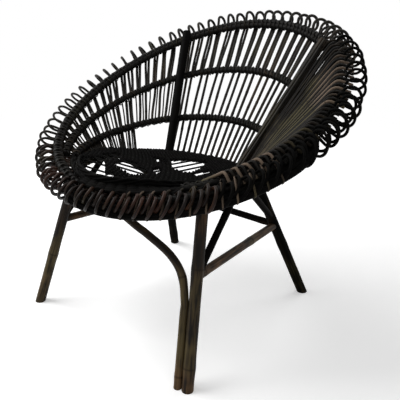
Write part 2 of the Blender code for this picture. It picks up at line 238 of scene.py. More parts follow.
class ShaderTree(NodeMaker):
    """The node tree of a material or of the world."""

    # Sockets of a Mix node that works on colours
    mix_factor = 0
    mix_first = 6
    mix_second = 7
    mix_result = 2

    def __init__(self, owner: bpy.types.Material | bpy.types.World) -> None:
        """Empty the tree and keep it.

        Args:
            owner: The material or world.
        """
        owner.use_nodes = True
        self.tree = owner.node_tree
        self.tree.nodes.clear()

    def value(self, kind: str, settings: dict[str, Any] | None = None,
              sockets: dict[Any, Any] | None = None, output: Any = 0) -> Value:
        """Add a node and wrap one of its outputs."""
        return Value(self.tree, self.add(kind, settings, sockets).outputs[output])

    def mix(self, factor: Any, first: Any, second: Any) -> Value:
        """Mix two colours.

        Args:
            factor: Share of the second colour.
            first: Colour or socket.
            second: Colour or socket.

        Returns:
            The mixed colour.
        """
        ends = [end if isinstance(end, Value) else (*end, 1.0) for end in (first, second)]
        sockets = {self.mix_factor: factor, self.mix_first: ends[0], self.mix_second: ends[1]}
        return self.value("ShaderNodeMix", {"data_type": "RGBA"}, sockets, output=self.mix_result)

    def stretched(self, vector: Value, scale: Triple) -> Value:
        """Multiply a vector by a scale, part by part."""
        return self.value("ShaderNodeVectorMath", {"operation": "MULTIPLY"}, {0: vector, 1: scale})

    def noise(self, vector: Value, scale: float, detail: float = 3.0) -> Value:
        """Noise from 0 to 1 on a vector."""
        return self.value("ShaderNodeTexNoise", {}, {"Vector": vector, "Scale": scale, "Detail": detail})

    def ramp(self, value: Value, low: float, high: float) -> Value:
        """Smooth step from 0 at low to 1 at high."""
        sockets = {"Value": value, "From Min": low, "From Max": high}
        return self.value("ShaderNodeMapRange", {"interpolation_type": "SMOOTHSTEP"}, sockets)

    def height(self, vector: Value) -> Value:
        """The Z part of a vector."""
        return self.value("ShaderNodeSeparateXYZ", {}, {0: vector}, output="Z")


# Finishes

@dataclass(frozen=True)
class RattanFinish:
    """Stained rattan: dark stain worn brown along the fibres, darker at the growth rings.

    The fields from fibre_scale on are the same for every finish. They say how fine the noises are
    and how much each one does to the wear, the hue, the roughness and the relief.
    """

    name: str
    stain: Triple
    bark: Triple
    worn: Triple
    roughness: float = 0.42
    sheen_level: float = 0.22
    worn_share: float = 0.35
    ring_spacing: float = 0.21
    ring_width: float = 0.004
    olive: Triple = (0.034, 0.029, 0.012)
    foot_wear: float = 0.0
    tone_weight: float = 0.16
    fibre_scale: Triple = (2.4, 2.4, 16.0)
    fibre_detail: float = 5.0
    fine_scale: Triple = (7.0, 7.0, 60.0)
    patch_scale: float = 13.0
    hue_scale: float = 5.0
    bark_range: Pair = (0.35, 0.65)
    hue_range: Pair = (0.42, 0.60)
    foot_range: Pair = (0.05, 0.32)
    fibre_wear: float = 0.45
    patch_wear: float = 0.55
    wear_start: float = 0.70
    wear_spread: float = 0.4
    wear_full: float = 0.86
    wear_depth: float = 0.9
    ring_depth: float = 0.55
    fibre_rough: float = 0.16
    wear_smooth: float = 0.10
    ring_rough: float = 0.15
    fine_relief: float = 0.5
    fibre_relief: float = 0.5
    ring_relief: float = 0.8
    bump: float = 0.25
    bump_height: float = 0.0006

    def material(self) -> bpy.types.Material:
        """The material, made on first use.

        Returns:
            The Blender material of this finish.
        """
        made = bpy.data.materials.get(self.name)
        if made is not None:
            return made
        material = bpy.data.materials.new(self.name)
        tree = ShaderTree(material)
        grain = tree.value("ShaderNodeAttribute", {"attribute_name": "grain"}, output="Vector")
        tone = tree.value("ShaderNodeAttribute", {"attribute_name": "tone"}, output="Fac")
        place = tree.value("ShaderNodeTexCoord", output="Object")
        fibres = tree.noise(tree.stretched(grain, self.fibre_scale), 1.0, self.fibre_detail)
        ring = self.growth_ring(tree, tree.height(grain), tone)
        wear = self.wear(tree, place, fibres, tone)

        bark = tree.mix(tree.ramp(fibres, *self.bark_range), self.stain, self.bark)
        hue = tree.ramp(tree.noise(place, self.hue_scale, detail=1.0), *self.hue_range)
        colour = tree.mix(wear * self.wear_depth, bark, tree.mix(hue, self.worn, self.olive))
        colour = tree.mix(ring * self.ring_depth, colour, self.stain)
        roughness = self.roughness + fibres * self.fibre_rough - wear * self.wear_smooth
        roughness = roughness + ring * self.ring_rough
        fine = tree.noise(tree.stretched(grain, self.fine_scale), 1.0)
        relief = fine * self.fine_relief + fibres * self.fibre_relief - ring * self.ring_relief
        bump = tree.value("ShaderNodeBump", {}, {
            "Strength": self.bump, "Distance": self.bump_height, "Height": relief})
        shader = tree.value("ShaderNodeBsdfPrincipled", {}, {
            "Base Color": colour, "Roughness": roughness, "Specular IOR Level": self.sheen_level,
            "Normal": bump})
        tree.add("ShaderNodeOutputMaterial", {}, {"Surface": shader})
        return material

    def wear(self, tree: ShaderTree, place: Value, fibres: Value, tone: Value) -> Value:
        """How far the stain is worn off: along fibres, in patches, on some canes and near the feet.

        Args:
            tree: Tree of the material.
            place: Place on the chair.
            fibres: Noise along the fibres.
            tone: Number of the cane, from 0 to 1.

        Returns:
            The share that is worn.
        """
        patches = tree.noise(place, self.patch_scale)
        low = 1.0 - tree.ramp(tree.height(place), *self.foot_range)
        worn = fibres * self.fibre_wear + patches * self.patch_wear + tone * self.tone_weight
        worn = worn + low * self.foot_wear
        return tree.ramp(worn, self.wear_start - self.wear_spread * self.worn_share, self.wear_full)

    def growth_ring(self, tree: ShaderTree, along: Value, tone: Value) -> Value:
        """Thin rings round the cane at its growth joints, where the mesh swells too.

        Args:
            tree: Tree of the material.
            along: Length along the cane.
            tone: Number of the cane, from 0 to 1, which shifts its rings.

        Returns:
            1 on a ring, otherwise 0.
        """
        step = (along / self.ring_spacing + tone * RING_SHIFT).math("FRACT")
        away = (step - 0.5).math("ABSOLUTE") * self.ring_spacing
        return 1.0 - tree.ramp(away, 0.0, self.ring_width)


RING_SHIFT = 7.3
CANE_RINGS = {"ring_spacing": 0.13, "ring_width": 0.0022}
POLE_FINISH = RattanFinish(
    "pole_rattan", stain=(0.0045, 0.0034, 0.0027), bark=(0.020, 0.0135, 0.0085), worn=(0.135, 0.074, 0.034),
    olive=(0.085, 0.064, 0.028), sheen_level=0.10, worn_share=0.34, foot_wear=0.16)
# Darker copy of the pole finish for the rear legs, the braces, the rear stretcher and the seat ring, which
# lie under the seat and away from the key light: painted shade.
PAINTED_SHADE_POLE_FINISH = RattanFinish(
    "dark_pole_rattan", stain=(0.0012, 0.0011, 0.001), bark=(0.004, 0.0034, 0.0027),
    worn=(0.020, 0.014, 0.008), roughness=0.6, sheen_level=0.02, worn_share=0.2, foot_wear=0.05)
HOOP_FINISH = RattanFinish(
    "hoop_rattan", stain=(0.002, 0.0018, 0.0015), bark=(0.005, 0.0043, 0.0035), worn=(0.020, 0.014, 0.008),
    roughness=0.46, sheen_level=0.08, worn_share=0.2, ring_spacing=0.16)
WALL_FINISH = RattanFinish(
    "wall_rattan", stain=(0.0042, 0.0036, 0.0029), bark=(0.014, 0.0115, 0.0082), worn=(0.060, 0.040, 0.022),
    sheen_level=0.13, **CANE_RINGS)
LINING_FINISH = RattanFinish(
    "lining_rattan", stain=(0.004, 0.0032, 0.0026), bark=(0.020, 0.016, 0.012), worn=(0.165, 0.122, 0.090),
    olive=(0.092, 0.079, 0.040), sheen_level=0.05, worn_share=0.3, tone_weight=0.50, **CANE_RINGS)
# Lighter, redder copy of the wall cane finish for the front border canes: real reddish wear, plus a painted
# highlight where the key light falls on the front.
BORDER_WEAR_AND_HIGHLIGHT_FINISH = RattanFinish(
    "border_rattan", stain=(0.002, 0.0012, 0.001), bark=(0.0085, 0.0043, 0.003), worn=(0.085, 0.036, 0.022),
    roughness=0.36, sheen_level=0.10, worn_share=0.5, **CANE_RINGS)
# Near black: the seat's own dark stain, and also painted shade on the wall canes and loops of the sitter's
# left side, away from the key light, and on the roll's cores in the gaps between the loops.
BLACK_STAIN_AND_SHADE_FINISH = RattanFinish(
    "black_rattan", stain=(0.0006, 0.0006, 0.0005), bark=(0.0018, 0.0016, 0.0014), worn=(0.007, 0.006, 0.005),
    olive=(0.006, 0.006, 0.004), roughness=0.6, sheen_level=0.03, worn_share=0.15, **CANE_RINGS)


# Geometry trees

class GeometryTree(NodeMaker):
    """A geometry node tree with named inputs."""

    def __init__(self, name: str, inputs: dict[str, str]) -> None:
        """Make the tree and its inputs.

        Args:
            name: Name of the tree.
            inputs: Socket type of each input, by name.
        """
        self.tree = bpy.data.node_groups.new(name, "GeometryNodeTree")
        face = self.tree.interface
        face.new_socket("Geometry", in_out="OUTPUT", socket_type="NodeSocketGeometry")
        face.new_socket("Geometry", in_out="INPUT", socket_type="NodeSocketGeometry")
        self.keys: dict[str, str] = {}
        for label, kind in inputs.items():
            socket = face.new_socket(label, in_out="INPUT", socket_type=kind)
            self.keys[label] = socket.identifier
        self.start = self.tree.nodes.new("NodeGroupInput")
        self.end = self.tree.nodes.new("NodeGroupOutput")

    def given(self, label: str) -> bpy.types.NodeSocket:
        """The socket that a named input comes from."""
        return self.start.outputs[label]

    def math(self, operation: str, *terms: Any) -> bpy.types.NodeSocket:
        """Add a Math node and give its result."""
        return self.add("ShaderNodeMath", {"operation": operation}, dict(enumerate(terms))).outputs[0]

    def keep(self, geometry: bpy.types.NodeSocket, name: str, value: bpy.types.NodeSocket,
             kind: str = "FLOAT", domain: str = "POINT") -> bpy.types.NodeSocket:
        """Store a named attribute and give the geometry that has it."""
        node = self.add("GeometryNodeStoreNamedAttribute", {"data_type": kind, "domain": domain},
                        {"Geometry": geometry, "Name": name, "Value": value})
        return node.outputs["Geometry"]

    def named(self, name: str) -> bpy.types.NodeSocket:
        """Read a named number."""
        return self.add("GeometryNodeInputNamedAttribute", {"data_type": "FLOAT"}, {"Name": name}).outputs[0]


class CaneTree(GeometryTree):
    """Turns paths into round canes that swell at their growth joints."""

    growth_scale = 21.0

    def __init__(self) -> None:
        """Build the tree."""
        super().__init__("cane_along_path", {
            "Diameter": "NodeSocketFloat", "Sides": "NodeSocketInt", "Step": "NodeSocketFloat",
            "Ring Spacing": "NodeSocketFloat", "Ring Swell": "NodeSocketFloat",
            "Wobble": "NodeSocketFloat", "Seed": "NodeSocketInt", "Material": "NodeSocketMaterial"})
        mesh = self.swept(self.line())
        smooth = self.add("GeometryNodeSetShadeSmooth", {}, {"Geometry": mesh}).outputs[0]
        whole = self.add("GeometryNodeRealizeInstances", {}, {"Geometry": smooth}).outputs[0]
        done = self.add("GeometryNodeSetMaterial", {},
                        {"Geometry": whole, "Material": self.given("Material")})
        self.tree.links.new(done.outputs[0], self.end.inputs["Geometry"])

    def line(self) -> bpy.types.NodeSocket:
        """Smooth centre lines with their lengths and tones.

        Returns:
            The curves.
        """
        curve = self.add("GeometryNodeMeshToCurve", {}, {"Mesh": self.given("Geometry")}).outputs[0]
        bent = self.add("GeometryNodeCurveSplineType", {"spline_type": "CATMULL_ROM"}, {"Curve": curve})
        even = self.add("GeometryNodeResampleCurve", {"mode": "LENGTH"},
                        {"Curve": bent.outputs[0], "Length": self.given("Step")}).outputs[0]
        index = self.add("GeometryNodeInputIndex").outputs[0]
        tone = self.add("FunctionNodeRandomValue", {"data_type": "FLOAT"},
                        {"ID": index, "Seed": self.given("Seed")}).outputs[1]
        toned = self.keep(even, "tone", tone, domain="CURVE")
        length = self.add("GeometryNodeSplineParameter").outputs["Length"]
        return self.keep(toned, "along", length)

    def thickness(self) -> bpy.types.NodeSocket:
        """Share of the diameter along a cane: its growth joints and its uneven growth.

        Returns:
            The share.
        """
        spacing = self.given("Ring Spacing")
        turns = self.math("DIVIDE", self.named("along"), spacing)
        step = self.math("FRACT", self.math("MULTIPLY_ADD", self.named("tone"), RING_SHIFT, turns))
        away = self.math("MULTIPLY", self.math("ABSOLUTE", self.math("SUBTRACT", step, 0.5)), spacing)
        ring = self.add("ShaderNodeMapRange", {"interpolation_type": "SMOOTHSTEP"}, {
            "Value": away, "From Min": 0.0, "From Max": self.given("Diameter"), "To Min": 1.0, "To Max": 0.0})
        swell = self.math("MULTIPLY_ADD", ring.outputs[0], self.given("Ring Swell"), 1.0)
        grown = self.add("ShaderNodeTexNoise", {}, {"Scale": self.growth_scale, "Detail": 1.0}).outputs[0]
        return self.math("MULTIPLY_ADD", self.math("SUBTRACT", grown, 0.5), self.given("Wobble"), swell)

    def swept(self, curve: bpy.types.NodeSocket) -> bpy.types.NodeSocket:
        """Round tubes along the curves, with their grain.

        Args:
            curve: Centre lines.

        Returns:
            The mesh.
        """
        radius = self.math("MULTIPLY", self.given("Diameter"), 0.5)
        circle = self.add("GeometryNodeCurvePrimitiveCircle", {"mode": "RADIUS"},
                          {"Resolution": self.given("Sides"), "Radius": radius}).outputs[0]
        factor = self.add("GeometryNodeSplineParameter").outputs["Factor"]
        profile = self.keep(circle, "around", factor)
        tube = self.add("GeometryNodeCurveToMesh", {}, {
            "Curve": curve, "Profile Curve": profile, "Scale": self.thickness(),
            "Fill Caps": True}).outputs[0]
        turn = self.math("MULTIPLY", self.named("around"), FULL_TURN)
        grain = self.add("ShaderNodeCombineXYZ", {}, {
            0: self.math("COSINE", turn), 1: self.math("SINE", turn), 2: self.named("along")}).outputs[0]
        return self.keep(tube, "grain", grain, kind="FLOAT_VECTOR")


@dataclass(frozen=True)
class Cane:
    """One kind of cane or pole: its thickness, facets and growth."""

    diameter: float
    sides: int = 8
    step: float = 0.006
    ring_spacing: float = 0.13
    ring_swell: float = 0.06
    wobble: float = 0.06


class Workshop:
    """Makes pieces out of paths and joins them to the chair."""

    def __init__(self) -> None:
        """Make the tree that every cane uses."""
        self.tree = CaneTree()
        self.made = 0

    def paths_object(self, name: str, paths: Sequence[Path], closed: bool) -> bpy.types.Object:
        """An object whose edges are the paths.

        Args:
            name: Name of the object.
            paths: Points of each path.
            closed: Whether each path goes back to its start.

        Returns:
            The object.
        """
        points: list[Vector] = []
        edges: list[tuple[int, int]] = []
        for path in paths:
            first = len(points)
            points += path
            edges += [(first + step, first + step + 1) for step in range(len(path) - 1)]
            if closed:
                edges.append((len(points) - 1, first))
        mesh = bpy.data.meshes.new(name)
        mesh.from_pydata([tuple(point) for point in points], edges, [])
        item = bpy.data.objects.new(name, mesh)
        bpy.context.scene.collection.objects.link(item)
        return item

    def cane_mesh(self, name: str, paths: Sequence[Path], cane: Cane, finish: RattanFinish,
                  closed: bool = False) -> bpy.types.Mesh:
        """The plain mesh of canes along the paths.

        Args:
            name: Name of the mesh.
            paths: Centre lines.
            cane: Kind of cane.
            finish: Its finish.
            closed: Whether the paths are closed.

        Returns:
            The mesh.
        """
        self.made += 1
        item = self.paths_object(name + "_paths", paths, closed)
        modifier = item.modifiers.new("cane", "NODES")
        modifier.node_group = self.tree.tree
        given = {"Diameter": cane.diameter, "Sides": cane.sides, "Step": cane.step,
                 "Ring Spacing": cane.ring_spacing, "Ring Swell": cane.ring_swell, "Wobble": cane.wobble,
                 "Seed": self.made, "Material": finish.material()}
        for label, setting in given.items():
            modifier[self.tree.keys[label]] = setting
        graph = bpy.context.evaluated_depsgraph_get()
        mesh = bpy.data.meshes.new_from_object(item.evaluated_get(graph))
        item.modifiers.remove(modifier)
        lines = item.data
        bpy.data.objects.remove(item, do_unlink=True)
        bpy.data.meshes.remove(lines)
        mesh.name = name
        return mesh

    def join(self, name: str, meshes: Sequence[bpy.types.Mesh], slot: Slot,
             nodes: Sequence[str] = ()) -> None:
        """Make one piece of the chair out of meshes.

        Args:
            name: Name of the piece.
            meshes: Its meshes, which become one.
            slot: Material slot of the record; not used.
            nodes: Solids that the piece stands for.
        """
        mesh = self.merged(name, meshes) if len(meshes) > 1 else meshes[0]
        piece = bpy.data.objects.new(name, mesh)
        bpy.context.scene.collection.objects.link(piece)
        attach(piece, BODY)
        if nodes:
            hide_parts(*nodes)
        LOG.info("%s: %d faces", name, len(mesh.polygons))

    @staticmethod
    def merged(name: str, meshes: Sequence[bpy.types.Mesh]) -> bpy.types.Mesh:
        """One mesh out of several, with their materials and attributes.

        Args:
            name: Name of the new mesh.
            meshes: Meshes to join; they are removed.

        Returns:
            The new mesh.
        """
        items = [bpy.data.objects.new(f"{name}_{number}", mesh) for number, mesh in enumerate(meshes)]
        for item in items:
            bpy.context.scene.collection.objects.link(item)
        with bpy.context.temp_override(active_object=items[0], object=items[0], selected_objects=items,
                                       selected_editable_objects=items):
            bpy.ops.object.join()
        mesh = items[0].data
        bpy.data.objects.remove(items[0], do_unlink=True)
        mesh.name = name
        return mesh


# Shape of the basket

@dataclass(frozen=True)
class Basket:
    """Lines of the basket: foot of the wall, rim, stakes and loops, as in the solids."""

    cane: float = 0.0055
    touch: float = 0.0003
    seat_radius: float = 0.213
    seat_height: float = 0.378
    seat_centre_y: float = -0.10016
    seat_slope: float = math.radians(5.7)
    foot_spread: float = math.radians(8.6)
    rim_half_width: float = 0.356
    rim_half_depth: float = 0.371
    rim_height: float = 0.53499
    rim_centre_y: float = 0.00283
    rim_lean: float = math.radians(25.4)
    rim_saddle: float = 0.010
    lower_share: float = 0.282
    middle_share: float = 0.649
    stakes: int = 78
    ring_diameter: float = 0.018
    loop_rise: float = math.radians(9.0)
    loop_rise_front_to_back: float = math.radians(42.9)
    loop_rise_sides: float = math.radians(4.7)
    loop_length: float = 0.058
    loop_widest: float = 0.8

    def oval(self, angle: float, half_width: float, half_depth: float, centre_y: float, height: float,
             lean: float) -> Vector:
        """Point on an oval that leans back about the X axis."""
        reach = -half_depth * math.cos(angle)
        return Vector((half_width * math.sin(angle), centre_y + reach * math.cos(lean),
                       height + reach * math.sin(lean)))

    def foot(self, angle: float) -> Vector:
        """Foot of the wall at an angle."""
        turned = angle + self.foot_spread * math.sin(angle) * (1 + math.cos(angle))
        return self.oval(turned, self.seat_radius, self.seat_radius, self.seat_centre_y, self.seat_height,
                         -self.seat_slope)

    def rim(self, angle: float) -> Vector:
        """Top of the wall at an angle."""
        point = self.oval(angle, self.rim_half_width, self.rim_half_depth, self.rim_centre_y, self.rim_height,
                          self.rim_lean)
        return point + UP * (self.rim_saddle * math.cos(2 * angle))

    def wall(self, angle: float, share: float) -> Vector:
        """Point a share of the way up the wall."""
        return self.foot(angle).lerp(self.rim(angle), share)

    def tangent(self, angle: float, share: float) -> Vector:
        """Direction round the chair a share of the way up the wall."""
        step = math.pi / self.stakes
        return (self.wall(angle + step, share) - self.wall(angle - step, share)).normalized()

    def axes(self, angle: float, share: float) -> tuple[Vector, Vector, Vector]:
        """Directions on the wall.

        Args:
            angle: Angle round the chair.
            share: Share of the way up the wall.

        Returns:
            Up along the wall, across it, and from it into the basket.
        """
        along = (self.rim(angle) - self.foot(angle)).normalized()
        across = square_to(self.tangent(angle, share), along)
        return along, across, along.cross(across)

    def hoop(self, angle: float, share: float, diameter: float) -> Vector:
        """Centre of a hoop that lies inside the wall canes."""
        reach = (diameter + self.cane) / 2 + self.touch
        return self.wall(angle, share) + self.axes(angle, share)[2] * reach

    def ring(self, angle: float) -> Vector:
        """Centre of the seat ring, which lies under the wall canes."""
        reach = (self.ring_diameter + self.cane) / 2 + self.touch
        return self.foot(angle) - self.axes(angle, 0.0)[2] * reach

    def stake_angles(self) -> list[float]:
        """Angles of the stakes, even on both sides of the front."""
        return [FULL_TURN * (number + 0.5) / self.stakes for number in range(self.stakes)]

    def gap_angles(self) -> list[float]:
        """Angles half way from each stake to the next."""
        return [angle + math.pi / self.stakes for angle in self.stake_angles()]

    def loop_axes(self, angle: float) -> tuple[Vector, Vector]:
        """Directions of the loop at an angle.

        Args:
            angle: Angle round the chair.

        Returns:
            Out from the rim, and across the loop.
        """
        outward = self.rim(angle) - Vector((0.0, self.rim_centre_y, 0.0))
        outward.z = 0.0
        rise = (self.loop_rise - self.loop_rise_front_to_back * math.cos(angle)
                - self.loop_rise_sides * math.cos(2 * angle))
        out = outward.normalized() * math.cos(rise) + UP * math.sin(rise)
        return out, square_to(self.tangent(angle, 1.0), out)

    def loop_pitch(self, angle: float) -> float:
        """Distance between neighbouring loops where they are widest.

        Args:
            angle: Angle round the chair.

        Returns:
            The distance.
        """
        half = math.pi / self.stakes
        before, after = [self.rim(side) + self.loop_axes(side)[0] * (self.loop_widest * self.loop_length)
                         for side in (angle - half, angle + half)]
        return (after - before).length


# Legs, posts and braces

@dataclass(frozen=True)
class Leg:
    """A straight leg on the sitter's left, from the floor to the seat ring."""

    foot: Vector
    axis: Vector
    top: Vector

    @classmethod
    def under(cls, basket: Basket, place: Pair, angle: float, outset: float = 0.0,
              head: float = 0.0) -> "Leg":
        """A leg that reaches the seat ring at an angle.

        Args:
            basket: Shape of the basket.
            place: Place of the foot on the floor.
            angle: Angle at which it meets the ring.
            outset: How far outside the ring it passes.
            head: How far it runs on above the ring.

        Returns:
            The leg.
        """
        ring = basket.ring(angle)
        outward = Vector((ring.x, ring.y - basket.seat_centre_y, 0.0)).normalized()
        foot = Vector((*place, 0.0))
        axis = (ring + outward * outset - foot).normalized()
        return cls(foot, axis, foot + axis * (ring.z / axis.z + head))

    def at(self, height: float) -> Vector:
        """Point on the axis at a height."""
        return self.foot + self.axis * (height / self.axis.z)


@dataclass
class LegFrame:
    """Legs, back posts, stretchers, braces and the bow.

    The right back post looks thicker than its place says, and the left one is a bundle of canes.
    """

    basket: Basket
    leg_diameter: float = 0.026
    front_foot: Pair = (0.264, -0.31916)
    front_angle: float = math.radians(51.7)
    front_outset: float = 0.015
    front_head: float = 0.008
    rear_foot: Pair = (0.240, 0.20284)
    rear_angle: float = math.radians(133.0)
    post_diameter: float = 0.020
    post_look: float = 0.0235
    post_angle: float = math.radians(139.5)
    post_ends: Pair = (-0.02, 1.02)
    post_gap: float = 0.0006
    post_hoops: tuple[Pair, Pair] = ((0.649, 0.018), (1.0, 0.020))
    bundled: str = "back_post_left"
    bundle_cane: float = 0.0068
    bundle: tuple[Pair, ...] = (
        (-0.0068, 0.0030), (0.0, 0.0055), (0.0068, 0.0030), (-0.0036, -0.0042), (0.0036, -0.0042))
    side_diameter: float = 0.020
    front_joint: float = 0.2291
    rear_joint: float = 0.2158
    rear_diameter: float = 0.018
    rear_stretcher: float = 0.2189
    brace_diameter: float = 0.016
    rear_brace: float = 0.2400
    front_brace_angle: float = math.radians(76.5)
    rear_brace_angle: float = math.radians(95.0)
    bow_diameter: float = 0.018
    bow_side: Triple = (-0.93, -0.36, 0.0)
    bow_straight: float = 0.175
    bow_rise: tuple[float, ...] = (0.0, 0.3, 0.6, 0.8, 0.9)
    bow_crown: tuple[Triple, ...] = (
        (0.195, -0.2602, 0.222), (0.157, -0.2562, 0.257), (0.092, -0.2582, 0.285), (0.050, -0.2682, 0.308))
    bow_end_angle: float = math.radians(-15.5)
    # Finishes by the start of the name. The rear legs, the braces and the rear stretcher take the darker pole
    # finish as painted shade under the seat.
    looks: tuple[tuple[str, RattanFinish], ...] = (
        ("back_post_left", WALL_FINISH), ("back_post_right", BLACK_STAIN_AND_SHADE_FINISH), ("leg_rear", PAINTED_SHADE_POLE_FINISH),
        ("side_brace", PAINTED_SHADE_POLE_FINISH), ("rear_stretcher", PAINTED_SHADE_POLE_FINISH))

    def __post_init__(self) -> None:
        """Set out the two legs of the left side."""
        self.front = Leg.under(self.basket, self.front_foot, self.front_angle, self.front_outset,
                               self.front_head)
        self.rear = Leg.under(self.basket, self.rear_foot, self.rear_angle)

    def leg_path(self, leg: Leg) -> Path:
        """Axis of a leg from below the floor to its top."""
        return [leg.foot - leg.axis * self.leg_diameter, leg.top]

    def post_path(self) -> Path:
        """Axis of the left back post up the inside of the hoops.

        Returns:
            Its two ends.
        """
        basket = self.basket
        beside = []
        for share, diameter in self.post_hoops:
            reach = (diameter + self.post_diameter) / 2 + self.post_gap
            inward = basket.axes(self.post_angle, share)[2]
            beside.append(basket.hoop(self.post_angle, share, diameter) + inward * reach)
        low, high = [share for share, _ in self.post_hoops]
        return [beside[0].lerp(beside[1], (share - low) / (high - low)) for share in self.post_ends]

    def bundle_paths(self) -> list[Path]:
        """Canes of the bundle, by their places across and inward."""
        _, across, inward = self.basket.axes(self.post_angle, 1.0)
        return [[point + across * aside + inward * deep for point in self.post_path()]
                for aside, deep in self.bundle]

    def bow_path(self) -> Path:
        """Axis of the bow: up beside the left front leg, then over to the front of the seat ring.

        Returns:
            The path.
        """
        leg = self.front
        aside = square_to(Vector(self.bow_side), leg.axis)
        offset = aside * ((self.leg_diameter + self.bow_diameter) / 2 + self.basket.touch)
        below = leg.foot + offset - leg.axis * self.leg_diameter
        start = leg.at(self.bow_straight) + offset
        rise = [below.lerp(start, share) for share in self.bow_rise]
        crown = [Vector(knot) for knot in self.bow_crown]
        return [*rise, start, *crown, self.basket.ring(self.bow_end_angle)]

    def poles(self) -> list[tuple[str, Path, float]]:
        """Every pole of the frame.

        Returns:
            Name, axis and diameter of each pole.
        """
        joint = self.front.at(self.front_joint)
        front_brace = [joint, self.basket.ring(self.front_brace_angle)]
        rear_brace = [self.rear.at(self.rear_brace), self.basket.ring(self.rear_brace_angle)]
        pairs = [
            ("leg_front", self.leg_path(self.front), self.leg_diameter),
            ("leg_rear", self.leg_path(self.rear), self.leg_diameter),
            ("back_post", self.post_path(), self.post_look),
            ("side_stretcher", [joint, self.rear.at(self.rear_joint)], self.side_diameter),
            ("side_brace_front", front_brace, self.brace_diameter),
            ("side_brace_rear", rear_brace, self.brace_diameter)]
        found = [(f"{name}_{side.name.lower()}", side.place(path), size)
                 for name, path, size in pairs for side in Side]
        end = self.rear.at(self.rear_stretcher)
        found.append(("rear_stretcher", [end, *Side.RIGHT.place([end])], self.rear_diameter))
        found.append(("front_bow_brace", self.bow_path(), self.bow_diameter))
        return found

    def finish(self, name: str) -> RattanFinish:
        """Finish of a pole, by its name."""
        return next((look for start, look in self.looks if name.startswith(start)), POLE_FINISH)

    def build(self, shop: Workshop) -> None:
        """Make every pole as a piece of its own.

        Args:
            shop: Maker of the pieces.
        """
        for name, path, size in self.poles():
            bundled = name == self.bundled
            paths = self.bundle_paths() if bundled else [path]
            cane = Cane(self.bundle_cane if bundled else size, sides=20, step=0.007,
                        ring_spacing=POLE_FINISH.ring_spacing, ring_swell=0.07, wobble=0.05)
            mesh = shop.cane_mesh(name + "_pole", paths, cane, self.finish(name))
            if min(point.z for point in path) < 0.0:
                self.cut_at_floor(mesh)
            shop.join(name + "_pole", [mesh], Slot.POLE, [name])

    @staticmethod
    def cut_at_floor(mesh: bpy.types.Mesh) -> None:
        """Cut a leg level with the floor and close its foot.

        Args:
            mesh: Mesh of the leg, which is changed.
        """
        shape = bmesh.new()
        shape.from_mesh(mesh)
        everything = [*shape.verts, *shape.edges, *shape.faces]
        cut = bmesh.ops.bisect_plane(shape, geom=everything, plane_co=(0.0, 0.0, 0.0),
                                     plane_no=(0.0, 0.0, -1.0), clear_outer=True)
        rim = [item for item in cut["geom_cut"] if isinstance(item, bmesh.types.BMEdge)]
        bmesh.ops.edgeloop_fill(shape, edges=rim)
        bmesh.ops.recalc_face_normals(shape, faces=shape.faces)
        shape.to_mesh(mesh)
        shape.free()


# Rolled front border

